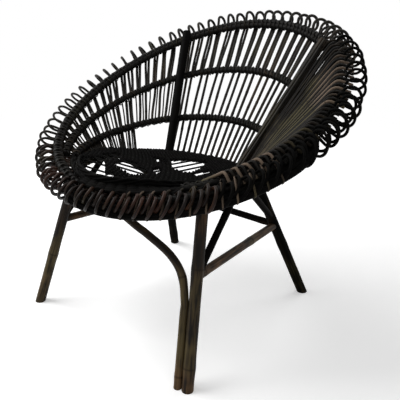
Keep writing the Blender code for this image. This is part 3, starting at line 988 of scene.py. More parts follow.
@dataclass
class FrontRoll:
    """Bundle of canes under the loops of the front, wound to the rim with cane, that closes the border.

    The core canes lie under the loops, the winding goes round them and the rim hoop, and the fillers are
    woven along the short wall between the rim and the seat.
    """

    basket: Basket
    first: float = math.radians(-21.0)
    last: float = math.radians(85.0)
    fade: float = math.radians(16.0)
    core: float = 0.013
    core_steps: int = 60
    reaches: tuple[float, ...] = (0.009, 0.019, 0.030, 0.041)
    depth: float = 0.010
    rim_diameter: float = 0.020
    rim_height: float = 0.0295
    rim_sink: float = 0.017
    loop_cut: float = 0.009
    winding: float = 0.0050
    winding_sink: float = 0.0032
    winding_first: float = math.radians(13.0)
    winding_last: float = math.radians(67.0)
    turn_steps: int = 18
    outline_steps: int = 16
    unevenness: float = 0.0026
    seed: int = 5
    filler: float = 0.0100
    filler_shares: tuple[float, ...] = (0.0, 0.11, 0.22, 0.33, 0.44, 0.55, 0.66, 0.77, 0.88)
    filler_first: float = math.radians(-8.0)
    filler_first_low: float = math.radians(-52.0)
    filler_low: float = 0.34
    filler_last: float = math.radians(52.0)
    filler_wave: float = 0.0028
    filler_steps: int = 120

    def directions(self, angle: float) -> tuple[Vector, Vector, Vector]:
        """Where the section at an angle lies.

        Args:
            angle: Angle round the chair.

        Returns:
            The rim point, and the directions out along the loops and up from them.
        """
        out, sideways = self.basket.loop_axes(angle)
        up = out.cross(sideways)
        if up.z < 0.0:
            up.negate()
        return self.basket.rim(angle), out, up

    def share(self, angle: float) -> float:
        """How full the roll is at an angle: nothing at its ends.

        Args:
            angle: Angle round the chair.

        Returns:
            The share, from 0 to 1.
        """
        folded = from_front(angle)
        near_end = min(folded - self.first, self.last - folded) / self.fade
        return math.sin(min(1.0, max(0.0, near_end)) * math.pi / 2)

    def rim_centre(self, angle: float) -> Vector:
        """Centre of the rim hoop, which sinks into the roll."""
        inward = self.basket.axes(angle, 1.0)[2]
        return self.basket.hoop(angle, 1.0, self.rim_diameter) - inward * (self.rim_sink * self.share(angle))

    def filler_path(self, number: int) -> Path:
        """Cane woven along the short front of the wall, which closes it.

        Args:
            number: Which of the canes, counted from the seat.

        Returns:
            The path.
        """
        share = self.filler_shares[number]
        first = self.filler_first_low if share < self.filler_low else self.filler_first
        path = []
        for angle in evenly(first, self.filler_last, self.filler_steps):
            wave = self.filler_wave * math.cos(self.basket.stakes / 2 * angle + math.pi * number)
            inward = self.basket.axes(angle, share)[2]
            path.append(self.basket.hoop(angle, share, self.filler) + inward * wave)
        return path

    def core_path(self, reach: float) -> Path:
        """Centre line of one cane of the bundle.

        Args:
            reach: How far out from the rim it lies where the roll is full.

        Returns:
            The path.
        """
        path = []
        for angle in evenly(self.first, self.last, self.core_steps):
            rim, out, up = self.directions(angle)
            path.append(rim + out * (reach * self.share(angle)) - up * self.depth)
        return path

    def section(self, angle: float) -> list[Pair]:
        """Outline of the roll and the rim hoop, pulled tight, as reaches out and up from the rim.

        Args:
            angle: Where the section is taken.

        Returns:
            Corners of the outline in order.
        """
        rim, out, up = self.directions(angle)
        hoop = self.rim_centre(angle) - rim
        circles = [(hoop.dot(out), hoop.dot(up), self.rim_height / 2)]
        core_radius = self.core / 2 - self.winding_sink
        circles += [(reach * self.share(angle), -self.depth, core_radius) for reach in self.reaches]
        points = []
        for across, height, radius in circles:
            reach = radius + self.winding / 2
            for step in range(self.outline_steps):
                turn = FULL_TURN * step / self.outline_steps
                points.append((across + reach * math.cos(turn), height + reach * math.sin(turn)))
        return tight_outline(points)

    def winding_path(self) -> Path:
        """Cane wound round the bundle and the rim hoop, one turn for each stake.

        Returns:
            The path.
        """
        chance = random.Random(self.seed)
        turns = round((self.winding_last - self.winding_first) / FULL_TURN * self.basket.stakes)
        shifts = [chance.uniform(-self.unevenness, self.unevenness) for _ in range(2 * turns + 3)]
        path = []
        angles = evenly(self.winding_first, self.winding_last, turns * self.turn_steps)
        for step, angle in enumerate(angles):
            rim, out, up = self.directions(angle)
            across, height = point_along(self.section(angle), step / self.turn_steps % 1.0)
            half_turn, part = divmod(2 * step / self.turn_steps, 1.0)
            shift = shifts[int(half_turn)] * (1 - part) + shifts[int(half_turn) + 1] * part
            path.append(rim + out * across + up * height + self.basket.tangent(angle, 1.0) * shift)
        return path

    def build(self, shop: Workshop) -> None:
        """Make the roll.

        Args:
            shop: Maker of the pieces.
        """
        core = Cane(self.core, sides=10, step=0.010, ring_swell=0.0)
        winding = Cane(self.winding, step=0.0040, ring_swell=0.05, wobble=0.12)
        filler = Cane(self.filler, step=0.005, ring_swell=0.05)
        cores = [self.core_path(reach) for reach in self.reaches]
        fillers = [self.filler_path(number) for number in range(len(self.filler_shares))]
        # The cores are near black as painted shade in the gaps between the loops; the fillers take the same
        # finish.
        meshes = [
            shop.cane_mesh("front_roll_core", cores, core, BLACK_STAIN_AND_SHADE_FINISH),
            shop.cane_mesh("front_roll_filler", fillers, filler, BLACK_STAIN_AND_SHADE_FINISH),
            shop.cane_mesh("front_roll_coil", [self.winding_path()], winding, LINING_FINISH)]
        shop.join("front_roll_wound", meshes, Slot.HOOP)


# Hoops

@dataclass(frozen=True)
class Hoop:
    """One hoop of the basket: its place on the wall, its thickness and the height of its band.

    At an open hoop, free is the number of stakes on each side of the front that it leaves free.
    """

    name: str
    share: float
    diameter: float
    height: float
    free: int = 0


@dataclass
class HoopSet:
    """Hoops of the wall, each wound with cane, and the ring and hoop under the seat."""

    basket: Basket
    roll: FrontRoll
    winding: float = 0.0038
    winding_sink: float = 0.35
    winding_bite: float = 1.1
    turns_per_stake: int = 2
    turn_steps: int = 9
    core_steps_per_stake: int = 2
    lashing: float = 0.0028
    lashing_steps: int = 10
    lashing_slant: float = 0.32
    lashing_reach: float = 0.0082
    hoops: tuple[Hoop, ...] = (
        Hoop("lower_hoop", 0.282, 0.016, 0.0215, 9), Hoop("middle_hoop", 0.649, 0.018, 0.0225, 8),
        Hoop("rim_hoop", 1.0, 0.020, 0.0295), Hoop("seat_inner_hoop", 0.0, 0.012, 0.012))

    def stakes(self, hoop: Hoop) -> int:
        """Number of stakes that a hoop passes."""
        return self.basket.stakes - 2 * hoop.free

    def angles(self, hoop: Hoop, steps: int) -> list[float]:
        """Angles in even steps along a hoop; on a closed one the last step leads back to the first.

        Args:
            hoop: The hoop.
            steps: Number of steps.

        Returns:
            The angles.
        """
        free = FULL_TURN * hoop.free / self.basket.stakes
        angles = evenly(free, FULL_TURN - free, steps)
        return angles if hoop.free else angles[:-1]

    def centre(self, hoop: Hoop, angle: float) -> Vector:
        """Centre of a hoop at an angle; the rim hoop sinks into the roll at the front.

        Args:
            hoop: The hoop.
            angle: Angle round the chair.

        Returns:
            The point.
        """
        if hoop.share == 1.0:
            return self.roll.rim_centre(angle)
        return self.basket.hoop(angle, hoop.share, hoop.diameter)

    def core(self, hoop: Hoop, lift: float) -> Path:
        """Centre line of a pole of the hoop, lifted along the wall."""
        return [self.centre(hoop, angle) + self.basket.axes(angle, hoop.share)[0] * lift
                for angle in self.angles(hoop, self.core_steps_per_stake * self.stakes(hoop))]

    def coil(self, hoop: Hoop) -> Path:
        """Path of the cane wound round a hoop.

        Args:
            hoop: The hoop.

        Returns:
            The path.
        """
        turns = self.turns_per_stake * self.stakes(hoop)
        steps = self.turn_steps * turns
        deep, tall = [size / 2 - self.winding * self.winding_sink for size in (hoop.diameter, hoop.height)]
        path = []
        for step, angle in enumerate(self.angles(hoop, steps)):
            along, _, inward = self.basket.axes(angle, hoop.share)
            turn = FULL_TURN * turns * step / steps
            beside = self.centre(hoop, angle) + inward * (deep * math.cos(turn))
            path.append(beside + along * (tall * math.sin(turn)))
        return path

    def lashings(self, hoop: Hoop) -> list[Path]:
        """Small bands of cane that hold each stake to a hoop.

        Args:
            hoop: The hoop.

        Returns:
            One closed path for each stake.
        """
        depth = hoop.diameter / 2 + self.basket.cane / 2 + self.lashing / 2
        turns = evenly(0.0, FULL_TURN, self.lashing_steps)[:-1]
        bands = []
        for angle in self.basket.stake_angles()[hoop.free:self.basket.stakes - hoop.free]:
            along, across, inward = self.basket.axes(angle, hoop.share)
            centre = self.centre(hoop, angle) - inward * (self.basket.cane / 2)
            slant = along * (self.lashing_slant * hoop.height) + across * self.lashing_reach
            bands.append([centre + inward * (depth * math.cos(turn)) + slant * math.sin(turn)
                          for turn in turns])
        return bands

    def build(self, shop: Workshop) -> None:
        """Make the hoops and the ring.

        Args:
            shop: Maker of the pieces.
        """
        wound = Cane(self.winding, sides=6, step=0.0030, ring_swell=0.0, wobble=0.12)
        band = Cane(self.lashing, sides=5, step=0.0040, ring_swell=0.0)
        for hoop in self.hoops:
            closed = hoop.free == 0
            lift = (hoop.height - hoop.diameter) / 2
            cores = [self.core(hoop, side) for side in ((lift, -lift) if lift else (0.0,))]
            thick = hoop.diameter - self.winding_bite * self.winding
            core = Cane(thick, sides=10, step=0.012, ring_swell=0.0)
            meshes = [
                shop.cane_mesh(hoop.name + "_core", cores, core, HOOP_FINISH, closed),
                shop.cane_mesh(hoop.name + "_coil", [self.coil(hoop)], wound, HOOP_FINISH, closed),
                shop.cane_mesh(hoop.name + "_lashing", self.lashings(hoop), band, WALL_FINISH, closed=True)]
            shop.join(hoop.name + "_wound", meshes, Slot.HOOP, [hoop.name])
        steps = self.core_steps_per_stake * self.basket.stakes
        ring = [self.basket.ring(angle) for angle in evenly(0.0, FULL_TURN, steps)[:-1]]
        cane = Cane(self.basket.ring_diameter, sides=14, step=0.008, ring_spacing=POLE_FINISH.ring_spacing)
        # The seat ring takes the darker pole finish: painted shade under the seat.
        mesh = shop.cane_mesh("seat_ring_pole", [ring], cane, PAINTED_SHADE_POLE_FINISH, closed=True)
        shop.join("seat_ring_pole", [mesh], Slot.HOOP, ["seat_ring"])


# Wall canes

@dataclass(frozen=True)
class CaneGroup:
    """Neighbouring wall canes that make one piece, by their numbers from the front."""

    name: str
    numbers: tuple[int, ...]
    finish: RattanFinish


@dataclass(frozen=True)
class LoopRun:
    """Stretch of the border with shorter loops between the others, by its first and last angle."""

    name: str
    first: float
    last: float
    finish: RattanFinish
    thin: bool = True


@dataclass
class WallWeave:
    """Canes of the wall: stakes that end in loops at the rim and turn back to the middle hoop.

    Tables of the loops go by the angle in degrees. The fields whose names end in spread, stray or wander
    are the small irregularities.
    """

    basket: Basket
    roll: FrontRoll
    thickness: float = 0.0078
    thin: float = 0.0066
    thin_canes: frozenset[int] = frozenset({*range(5, 15), *range(29, 34)})
    # The stakes take lit and shaded copies of the cane finish: the front group the lighter border finish as a
    # painted highlight, the sitter's left group near black as painted shade away from the key light.
    groups: tuple[CaneGroup, ...] = (
        CaneGroup("wall_canes_left", tuple(range(5, 15)), BLACK_STAIN_AND_SHADE_FINISH),
        CaneGroup("wall_canes_back", tuple(range(15, 24)), WALL_FINISH),
        CaneGroup("wall_canes_right", tuple(range(24, 34)), WALL_FINISH),
        CaneGroup("wall_canes_front", (*range(34, 39), *range(5)), BORDER_WEAR_AND_HIGHLIGHT_FINISH))
    leg_gap_middle: float = 0.0006
    leg_gap_rim: float = 0.0014
    leg_spread: Pair = (0.75, 1.5)
    leg_shares: tuple[float, ...] = (0.0, 0.06, 0.25, 0.5, 0.75, 0.94, 1.0)
    turn_shares: tuple[float, ...] = (0.2, 0.5, 0.8)
    tail: float = 0.010
    stub: float = 0.002
    stray: float = 0.0026
    wander: float = 0.0011
    bare_from: float = math.radians(222.0)
    bare_to: float = math.radians(250.0)
    bare_tail: float = -0.003
    loop_widths: tuple[Pair, ...] = (
        (0.0, 1.9), (60.0, 1.8), (110.0, 1.6), (150.0, 1.5), (180.0, 1.4), (205.0, 1.2), (235.0, 1.1),
        (265.0, 1.4), (300.0, 1.8), (360.0, 1.9))
    loop_cuts: tuple[Pair, ...] = (
        (0.0, 0.0), (148.0, 0.0), (172.0, 0.006), (200.0, 0.006), (225.0, 0.0), (360.0, 0.0))
    loop_width_rolled: float = 1.9
    loop_half_length: float = 0.021
    loop_tilt: float = math.radians(70.0)
    loop_tilt_rolled: float = math.radians(50.0)
    loop_turn: float = math.radians(118.0)
    loop_steps: int = 12
    tilt_spread: float = math.radians(3.0)
    lean_spread: float = 0.03
    nod_spread: float = 0.02
    length_spread: float = 0.0012
    second_cut: float = 0.012
    second_share: float = 0.98
    # The front loops take the lighter border finish as a painted highlight, and the left ones near black as
    # painted shade.
    second_runs: tuple[LoopRun, ...] = (
        LoopRun("second_loops_front", math.radians(-46.0), math.radians(46.0), BORDER_WEAR_AND_HIGHLIGHT_FINISH, thin=False),
        LoopRun("second_loops_left", math.radians(46.0), math.radians(106.0), BLACK_STAIN_AND_SHADE_FINISH),
        LoopRun("second_loops_back", math.radians(126.0), math.radians(152.0), WALL_FINISH))
    close_thickness: float = 0.0043
    close_span: Pair = (math.radians(223.0), math.radians(330.0))
    close_low_span: Pair = (math.radians(281.0), math.radians(325.0))
    lining_span: Pair = (math.radians(50.0), math.radians(137.6))
    lining_count: int = 45
    lining_thickness: float = 0.0068
    lining_wander: float = 0.0024
    lining_curve: tuple[Pair, ...] = (
        (0.02, 0.016), (0.15, 0.0195), (0.282, 0.0222), (0.46, 0.0235), (0.649, 0.0245), (0.85, 0.0262),
        (1.0, 0.0272), (1.05, 0.022), (1.075, 0.008), (1.10, -0.008))
    seed: int = 11

    def __post_init__(self) -> None:
        """Start the fixed run of small irregularities."""
        self.random = random.Random(self.seed)

    def within(self, size: float) -> float:
        """The next irregularity, up to a size to either side."""
        return self.random.uniform(-size, size)

    def stake(self, angle: float, share: float, side: int) -> Path:
        """One stake: a short leg up from the middle hoop, the loop, and a long leg down.

        Args:
            angle: Angle of the stake.
            share: Share of the wall's height at which the long leg ends.
            side: 1 where the long leg follows the short one round the chair, otherwise -1.

        Returns:
            The path.
        """
        basket = self.basket
        along, across, _ = basket.axes(angle, basket.middle_share)
        across_rim = basket.axes(angle, 1.0)[1]
        rim = basket.rim(angle)
        low = basket.wall(angle, basket.middle_share) - along * self.stub
        half_low = across * (side * (basket.cane + self.leg_gap_middle) / 2)
        half_rim = across_rim * (side * (basket.cane + self.leg_gap_rim) / 2)
        half_rim *= self.random.uniform(*self.leg_spread)
        low += across * self.within(self.stray)
        rim += across_rim * self.within(self.stray)
        foot = basket.wall(angle, share) - along * (self.bare_tail if share else self.tail)
        loop = self.loop(angle)
        if side < 0:
            loop.reverse()
        up = self.leg(low - half_low, rim - half_rim, across)
        down = self.leg(foot, low + half_low, across) + self.leg(low + half_low, rim + half_rim, across)[1:]
        return [*up, *loop, *reversed(down)]

    def leg(self, start: Vector, end: Vector, across: Vector) -> Path:
        """One leg of a stake, not quite straight.

        Args:
            start: Lower end.
            end: Upper end.
            across: Direction in which it bends.

        Returns:
            The path.
        """
        bend = self.within(self.wander)
        sway = self.within(self.wander)
        path = []
        for share in self.leg_shares:
            curve = math.sin(math.pi * share) * bend + math.sin(FULL_TURN * share) * sway
            path.append(start.lerp(end, share) + across * curve)
        return path

    def loop(self, angle: float, cut: float = 0.0) -> Path:
        """The loop of a stake, turned like one of a coil so that it passes its neighbours.

        Args:
            angle: Angle of the stake.
            cut: How much shorter than the others it is.

        Returns:
            The path from one side of the rim to the other.
        """
        basket = self.basket
        out, sideways = basket.loop_axes(angle)
        normal = out.cross(sideways)
        rolled = self.roll.share(angle)
        tilt = self.loop_tilt + (self.loop_tilt_rolled - self.loop_tilt) * rolled
        tilt += self.random.gauss(0.0, self.tilt_spread)
        lean = self.random.gauss(0.0, self.lean_spread)
        nod = self.random.gauss(0.0, self.nod_spread)
        turned = sideways * math.cos(tilt) + normal * math.sin(tilt)
        out = (out + sideways * lean + normal * nod).normalized()
        wide = level_at(self.loop_widths, math.degrees(angle))
        wide += (self.loop_width_rolled - wide) * rolled
        half_width = (basket.loop_pitch(angle) * wide - self.thickness) / 2
        half_length = min(half_width, self.loop_half_length)
        cut += level_at(self.loop_cuts, math.degrees(angle)) + self.roll.loop_cut * rolled
        length = basket.loop_length + self.random.gauss(0.0, self.length_spread) - cut
        centre = basket.rim(angle) + out * (length - half_length - basket.cane / 2)
        path = []
        for step in range(self.loop_steps + 1):
            turn = self.loop_turn * (2 * step / self.loop_steps - 1)
            reach = out * (half_length * math.cos(turn))
            path.append(centre + reach + turned * (half_width * math.sin(turn)))
        return path

    def cane(self, first: float, second: float) -> Path:
        """One unbroken cane: two stakes joined by a turn at the foot, or at the lower hoop where it is bare.

        Args:
            first: Angle of its first stake.
            second: Angle of its second stake.

        Returns:
            The path.
        """
        middle = (first + second) / 2
        share = self.basket.lower_share if self.bare_from < middle < self.bare_to else 0.0
        left = self.stake(first, share, 1)
        right = self.stake(second, share, -1)[::-1]
        depth = self.basket.axes(middle, share)[0] * self.basket.cane
        turn = [left[-1].lerp(right[0], part) - depth for part in self.turn_shares]
        return [*left, *turn, *right]

    def second_loops(self, run: LoopRun) -> list[Path]:
        """Shorter loops set between the others, which close the border.

        Args:
            run: Where they are.

        Returns:
            One path for each loop.
        """
        paths = []
        for angle in self.basket.gap_angles():
            if run.first < from_front(angle) < run.last:
                half = self.basket.axes(angle, 1.0)[1] * ((self.basket.cane + self.leg_gap_rim) / 2)
                start = self.basket.wall(angle, self.second_share)
                paths.append([start - half, *self.loop(angle, self.second_cut), start + half])
        return paths

    def upright(self, angle: float, low: float, high: float) -> Path:
        """A cane up the wall, from one share of its height to another."""
        across = self.basket.axes(angle, 0.0)[1]
        return self.leg(self.basket.wall(angle, low), self.basket.wall(angle, high), across)

    def close_canes(self) -> list[Path]:
        """Canes between the stakes of the sitter's right side, up to the middle hoop or the lower one.

        Returns:
            One path for each cane.
        """
        basket = self.basket
        quarter = math.pi / basket.stakes / 2
        paths = []
        for middle in basket.gap_angles():
            if self.close_span[0] < middle < self.close_span[1]:
                foot = basket.lower_share if middle < self.bare_to else 0.0
                paths.append(self.upright(middle, foot, basket.middle_share))
            for aside in (middle - quarter, middle + quarter):
                if self.close_low_span[0] < aside < self.close_low_span[1]:
                    paths.append(self.upright(aside, 0.0, basket.lower_share))
        return paths

    def lining(self) -> list[Path]:
        """Canes set close together inside the hoops of the sitter's left side, from the seat over the rim.

        Returns:
            One path for each cane.
        """
        paths = []
        for angle in evenly(*self.lining_span, self.lining_count - 1):
            path = []
            for share, inset in self.lining_curve:
                _, across, inward = self.basket.axes(angle, share)
                sway = across * self.within(self.lining_wander)
                path.append(self.basket.wall(angle, share) + inward * inset + sway)
            paths.append(path)
        return paths

    def build(self, shop: Workshop) -> None:
        """Make the stakes, the shorter loops, the close canes and the lining.

        Args:
            shop: Maker of the pieces.
        """
        cane = Cane(self.thickness, step=0.0042, ring_spacing=WALL_FINISH.ring_spacing, ring_swell=0.10,
                    wobble=0.14)
        thin = replace(cane, diameter=self.thin)
        self.build_stakes(shop, cane, thin)
        meshes = [shop.cane_mesh(run.name, self.second_loops(run), thin if run.thin else cane, run.finish)
                  for run in self.second_runs]
        shop.join("border_second_loops", meshes, Slot.WALL)
        close = Cane(self.close_thickness, ring_swell=0.0, wobble=0.14)
        mesh = shop.cane_mesh("wall_canes_close", self.close_canes(), close, WALL_FINISH)
        shop.join("wall_canes_close", [mesh], Slot.WALL)
        lining = Cane(self.lining_thickness, sides=7, ring_spacing=LINING_FINISH.ring_spacing,
                      ring_swell=0.08, wobble=0.14)
        paths = self.lining()
        # Every second lining cane takes the dark hoop finish: painted shade in the gaps between the pale
        # canes.
        meshes = [shop.cane_mesh("lining_pale", paths[::2], lining, LINING_FINISH),
                  shop.cane_mesh("lining_dark", paths[1::2], lining, HOOP_FINISH)]
        shop.join("wall_lining_left", meshes, Slot.WALL)

    def build_stakes(self, shop: Workshop, cane: Cane, thin: Cane) -> None:
        """Make the canes that have solids, group by group.

        Args:
            shop: Maker of the pieces.
            cane: Kind of most of the canes.
            thin: Kind of the thin ones.
        """
        angles = self.basket.stake_angles()
        paths = [self.cane(first, second) for first, second in zip(angles[::2], angles[1::2])]
        for group in self.groups:
            meshes = []
            for kind in (cane, thin):
                chosen = [paths[number] for number in group.numbers
                          if (number in self.thin_canes) == (kind is thin)]
                if chosen:
                    meshes.append(shop.cane_mesh(group.name, chosen, kind, group.finish))
            nodes = [f"wall_cane_{number + 1:02d}" for number in group.numbers]
            shop.join(group.name, meshes, Slot.WALL, nodes)


# Laced seat

class Layer(Enum):
    """The two layers of the seat."""

    LENGTHWISE = "lengthwise"
    CROSSWISE = "crosswise"


@dataclass(frozen=True)
class OpenPlace:
    """A worn place of the seat where only some canes of one layer are left.

    It is drawn from above by its corners, widened by a margin and stretched towards the sitter's right.
    """

    kept: Layer
    corners: tuple[Pair, ...]
    margin: float = 1.0
    kept_every: int = 4
    stretch: float = 0.0
    stretch_shares: tuple[float, ...] = (0.0, 0.35, 0.7)

    def holds(self, point: Vector) -> bool:
        """Whether a point lies inside the place or in its stretch."""
        reaches = [share * self.stretch for share in self.stretch_shares]
        return any(self.covers(point.x + reach, point.y - reach) for reach in reaches)

    def covers(self, x: float, y: float) -> bool:
        """Whether a place seen from above lies within the corners.

        Args:
            x: Place across the chair.
            y: Place along the chair.

        Returns:
            True inside.
        """
        middle_x, middle_y = [sum(axis) / len(self.corners) for axis in zip(*self.corners)]
        x = middle_x + (x - middle_x) / self.margin
        y = middle_y + (y - middle_y) / self.margin
        inside = False
        for (x0, y0), (x1, y1) in zip(self.corners, (*self.corners[1:], self.corners[0])):
            if (y0 > y) != (y1 > y) and x < x0 + (x1 - x0) * (y - y0) / (y1 - y0):
                inside = not inside
        return inside


WORN_PLACES = (
    OpenPlace(Layer.CROSSWISE, (
        (-0.119, -0.258), (-0.107, -0.219), (-0.048, -0.259), (0.014, -0.313), (0.037, -0.352),
        (0.016, -0.356)), margin=1.05, stretch=0.035),
    OpenPlace(Layer.CROSSWISE, (
        (-0.135, -0.191), (-0.130, -0.136), (-0.091, -0.171), (-0.097, -0.224)), stretch=0.03),
    OpenPlace(Layer.CROSSWISE, (
        (-0.048, -0.223), (-0.061, -0.175), (-0.029, -0.173), (0.040, -0.208), (0.054, -0.229),
        (0.037, -0.255), (-0.016, -0.236)), margin=1.18, kept_every=3),
    OpenPlace(Layer.CROSSWISE, (
        (0.015, -0.328), (0.029, -0.298), (0.054, -0.320), (0.049, -0.356)), stretch=0.03),
    OpenPlace(Layer.LENGTHWISE, (
        (-0.012, -0.063), (0.004, -0.027), (0.051, -0.004), (0.085, -0.077), (0.100, -0.125),
        (0.077, -0.134), (0.048, -0.126)), margin=1.10),
    OpenPlace(Layer.LENGTHWISE, (
        (-0.059, -0.087), (-0.028, -0.068), (0.010, -0.109), (-0.015, -0.111)), margin=1.2),
    OpenPlace(Layer.LENGTHWISE, (
        (0.028, -0.176), (0.030, -0.155), (0.065, -0.188), (0.063, -0.206)), margin=1.1),
    OpenPlace(Layer.LENGTHWISE, (
        (0.115, -0.128), (0.112, -0.072), (0.133, -0.100), (0.132, -0.142)), margin=1.2))


@dataclass
class LacedSeat:
    """Seat of canes laced to and fro and woven across, worn open in places.

    The edge is one cane that lies on the ends of the runs. The sill is a twist of canes at the front.
    """

    basket: Basket
    hoop_diameter: float = 0.012
    cane: float = 0.0046
    runs_each_way: int = 63
    span: float = math.radians(83.0)
    weave_step: float = 0.0066
    fewest_steps: int = 4
    wave_rise: float = 0.62
    end_dip: float = 0.0085
    dip_length: float = 0.090
    dip_fade: float = 0.070
    edge: float = 0.0070
    edge_last: float = math.radians(305.0)
    edge_steps: int = 110
    sill: float = 0.0068
    sill_inset: float = 0.0105
    sill_radius: float = 0.0046
    sill_canes: int = 4
    sill_twist: float = math.radians(24.0)
    sill_span: Pair = (math.radians(-38.0), math.radians(62.0))
    sill_steps: int = 50
    places: tuple[OpenPlace, ...] = WORN_PLACES

    def __post_init__(self) -> None:
        """Find the seat's plane."""
        front, back = self.hoop_point(0.0), self.hoop_point(math.pi)
        self.normal = Vector((1.0, 0.0, 0.0)).cross(back - front).normalized()

    def hoop_point(self, angle: float) -> Vector:
        """Centre of the hoop that the seat lies on."""
        return self.basket.hoop(angle, 0.0, self.hoop_diameter)

    def ends(self, side: float, layer: Layer) -> tuple[Vector, Vector]:
        """Where a run meets the hoop on both sides.

        Args:
            side: Angle of its first end from the middle of the layer.
            layer: The layer.

        Returns:
            Both ends.
        """
        if layer is Layer.CROSSWISE:
            return self.hoop_point(math.pi / 2 - side), self.hoop_point(3 * math.pi / 2 + side)
        return self.hoop_point(side), self.hoop_point(math.pi - side)

    def open_place(self, point: Vector) -> OpenPlace | None:
        """The open place round a point, if there is one."""
        return next((place for place in self.places if place.holds(point)), None)

    def backness(self, point: Vector) -> float:
        """How far back a point of the seat is: 0 up to its middle, 1 well behind it."""
        return min(1.0, max(0.0, (point.y - self.basket.seat_centre_y) / self.dip_fade))

    def dip(self, point: Vector) -> float:
        """How far the seat dips at a point, most of all on the hoop at the back.

        Args:
            point: Point of the seat.

        Returns:
            The dip.
        """
        reach = math.hypot(point.x, point.y - self.basket.seat_centre_y)
        near = min(1.0, max(0.0, 1.0 - (self.basket.seat_radius - reach) / self.dip_length))
        return self.end_dip * (near * near * (3.0 - 2.0 * near) * self.backness(point))

    def wave(self, point: Vector, run: int) -> float:
        """How far a crosswise run rises over the lengthwise ones at a point."""
        turn = point.x / self.weave_step * math.pi + math.pi * run
        return self.cane * (self.wave_rise + self.wave_rise * math.cos(turn))

    def stretches(self, layer: Layer, run: int) -> list[Path]:
        """One cane across the seat, broken off at the open places.

        Args:
            layer: Its layer.
            run: Its number in the layer.

        Returns:
            One path for each unbroken stretch.
        """
        lift = (self.hoop_diameter + self.cane) / 2 + self.basket.touch
        side = math.asin(math.sin(self.span) * (2 * run / (self.runs_each_way - 1) - 1))
        first, second = self.ends(side, layer)
        steps = max(self.fewest_steps, round((second - first).length / (self.weave_step / 2)))
        paths: list[Path] = [[]]
        for step in range(steps + 1):
            point = first.lerp(second, step / steps)
            place = self.open_place(point)
            if place and (place.kept is not layer or run % place.kept_every):
                paths.append([])
                continue
            woven = layer is Layer.CROSSWISE and not place
            wave = self.wave(point, run) if woven else 0.0
            paths[-1].append(point + self.normal * (lift + wave - self.dip(point)))
        return [path for path in paths if len(path) > 2]

    def edge_path(self) -> Path:
        """Cane that lies on the ends of the runs, but for the worn corner.

        Returns:
            The path.
        """
        path = []
        for angle in evenly(0.0, self.edge_last, self.edge_steps):
            point = self.hoop_point(angle)
            lift = (self.hoop_diameter + self.edge) / 2 - self.end_dip * self.backness(point)
            path.append(point + self.normal * lift)
        return path

    def sill_path(self, number: int) -> Path:
        """One of the canes twisted together under the ends of the runs at the front.

        Args:
            number: Which of the canes.

        Returns:
            The path.
        """
        path = []
        for step, angle in enumerate(evenly(*self.sill_span, self.sill_steps)):
            inward = self.basket.axes(angle, 0.0)[2]
            turn = FULL_TURN * number / self.sill_canes + self.sill_twist * step
            aside = inward * math.cos(turn) + self.normal * math.sin(turn)
            path.append(self.hoop_point(angle) + inward * self.sill_inset + aside * self.sill_radius)
        return path

    def build(self, shop: Workshop) -> None:
        """Make the two layers; the edge and the sill go with the crosswise one.

        Args:
            shop: Maker of the pieces.
        """
        cane = Cane(self.cane, sides=6, step=0.0040, ring_spacing=BLACK_STAIN_AND_SHADE_FINISH.ring_spacing, ring_swell=0.08)
        edge = Cane(self.edge, step=0.008, ring_swell=0.05)
        sill = replace(edge, diameter=self.sill)
        for layer in Layer:
            runs = [path for run in range(self.runs_each_way) for path in self.stretches(layer, run)]
            meshes = [shop.cane_mesh(f"seat_{layer.value}", runs, cane, BLACK_STAIN_AND_SHADE_FINISH)]
            if layer is Layer.CROSSWISE:
                meshes.append(shop.cane_mesh("seat_edge", [self.edge_path()], edge, BLACK_STAIN_AND_SHADE_FINISH))
                sills = [self.sill_path(number) for number in range(self.sill_canes)]
                meshes.append(shop.cane_mesh("seat_sill", sills, sill, BLACK_STAIN_AND_SHADE_FINISH))
            shop.join(f"seat_{layer.value}_laced", meshes, Slot.SEAT, [f"seat_canes_{layer.value}"])


# Studio

@dataclass(frozen=True)
class Lamp:
    """A soft square lamp."""

    name: str
    place: Triple
    size: float
    power: float


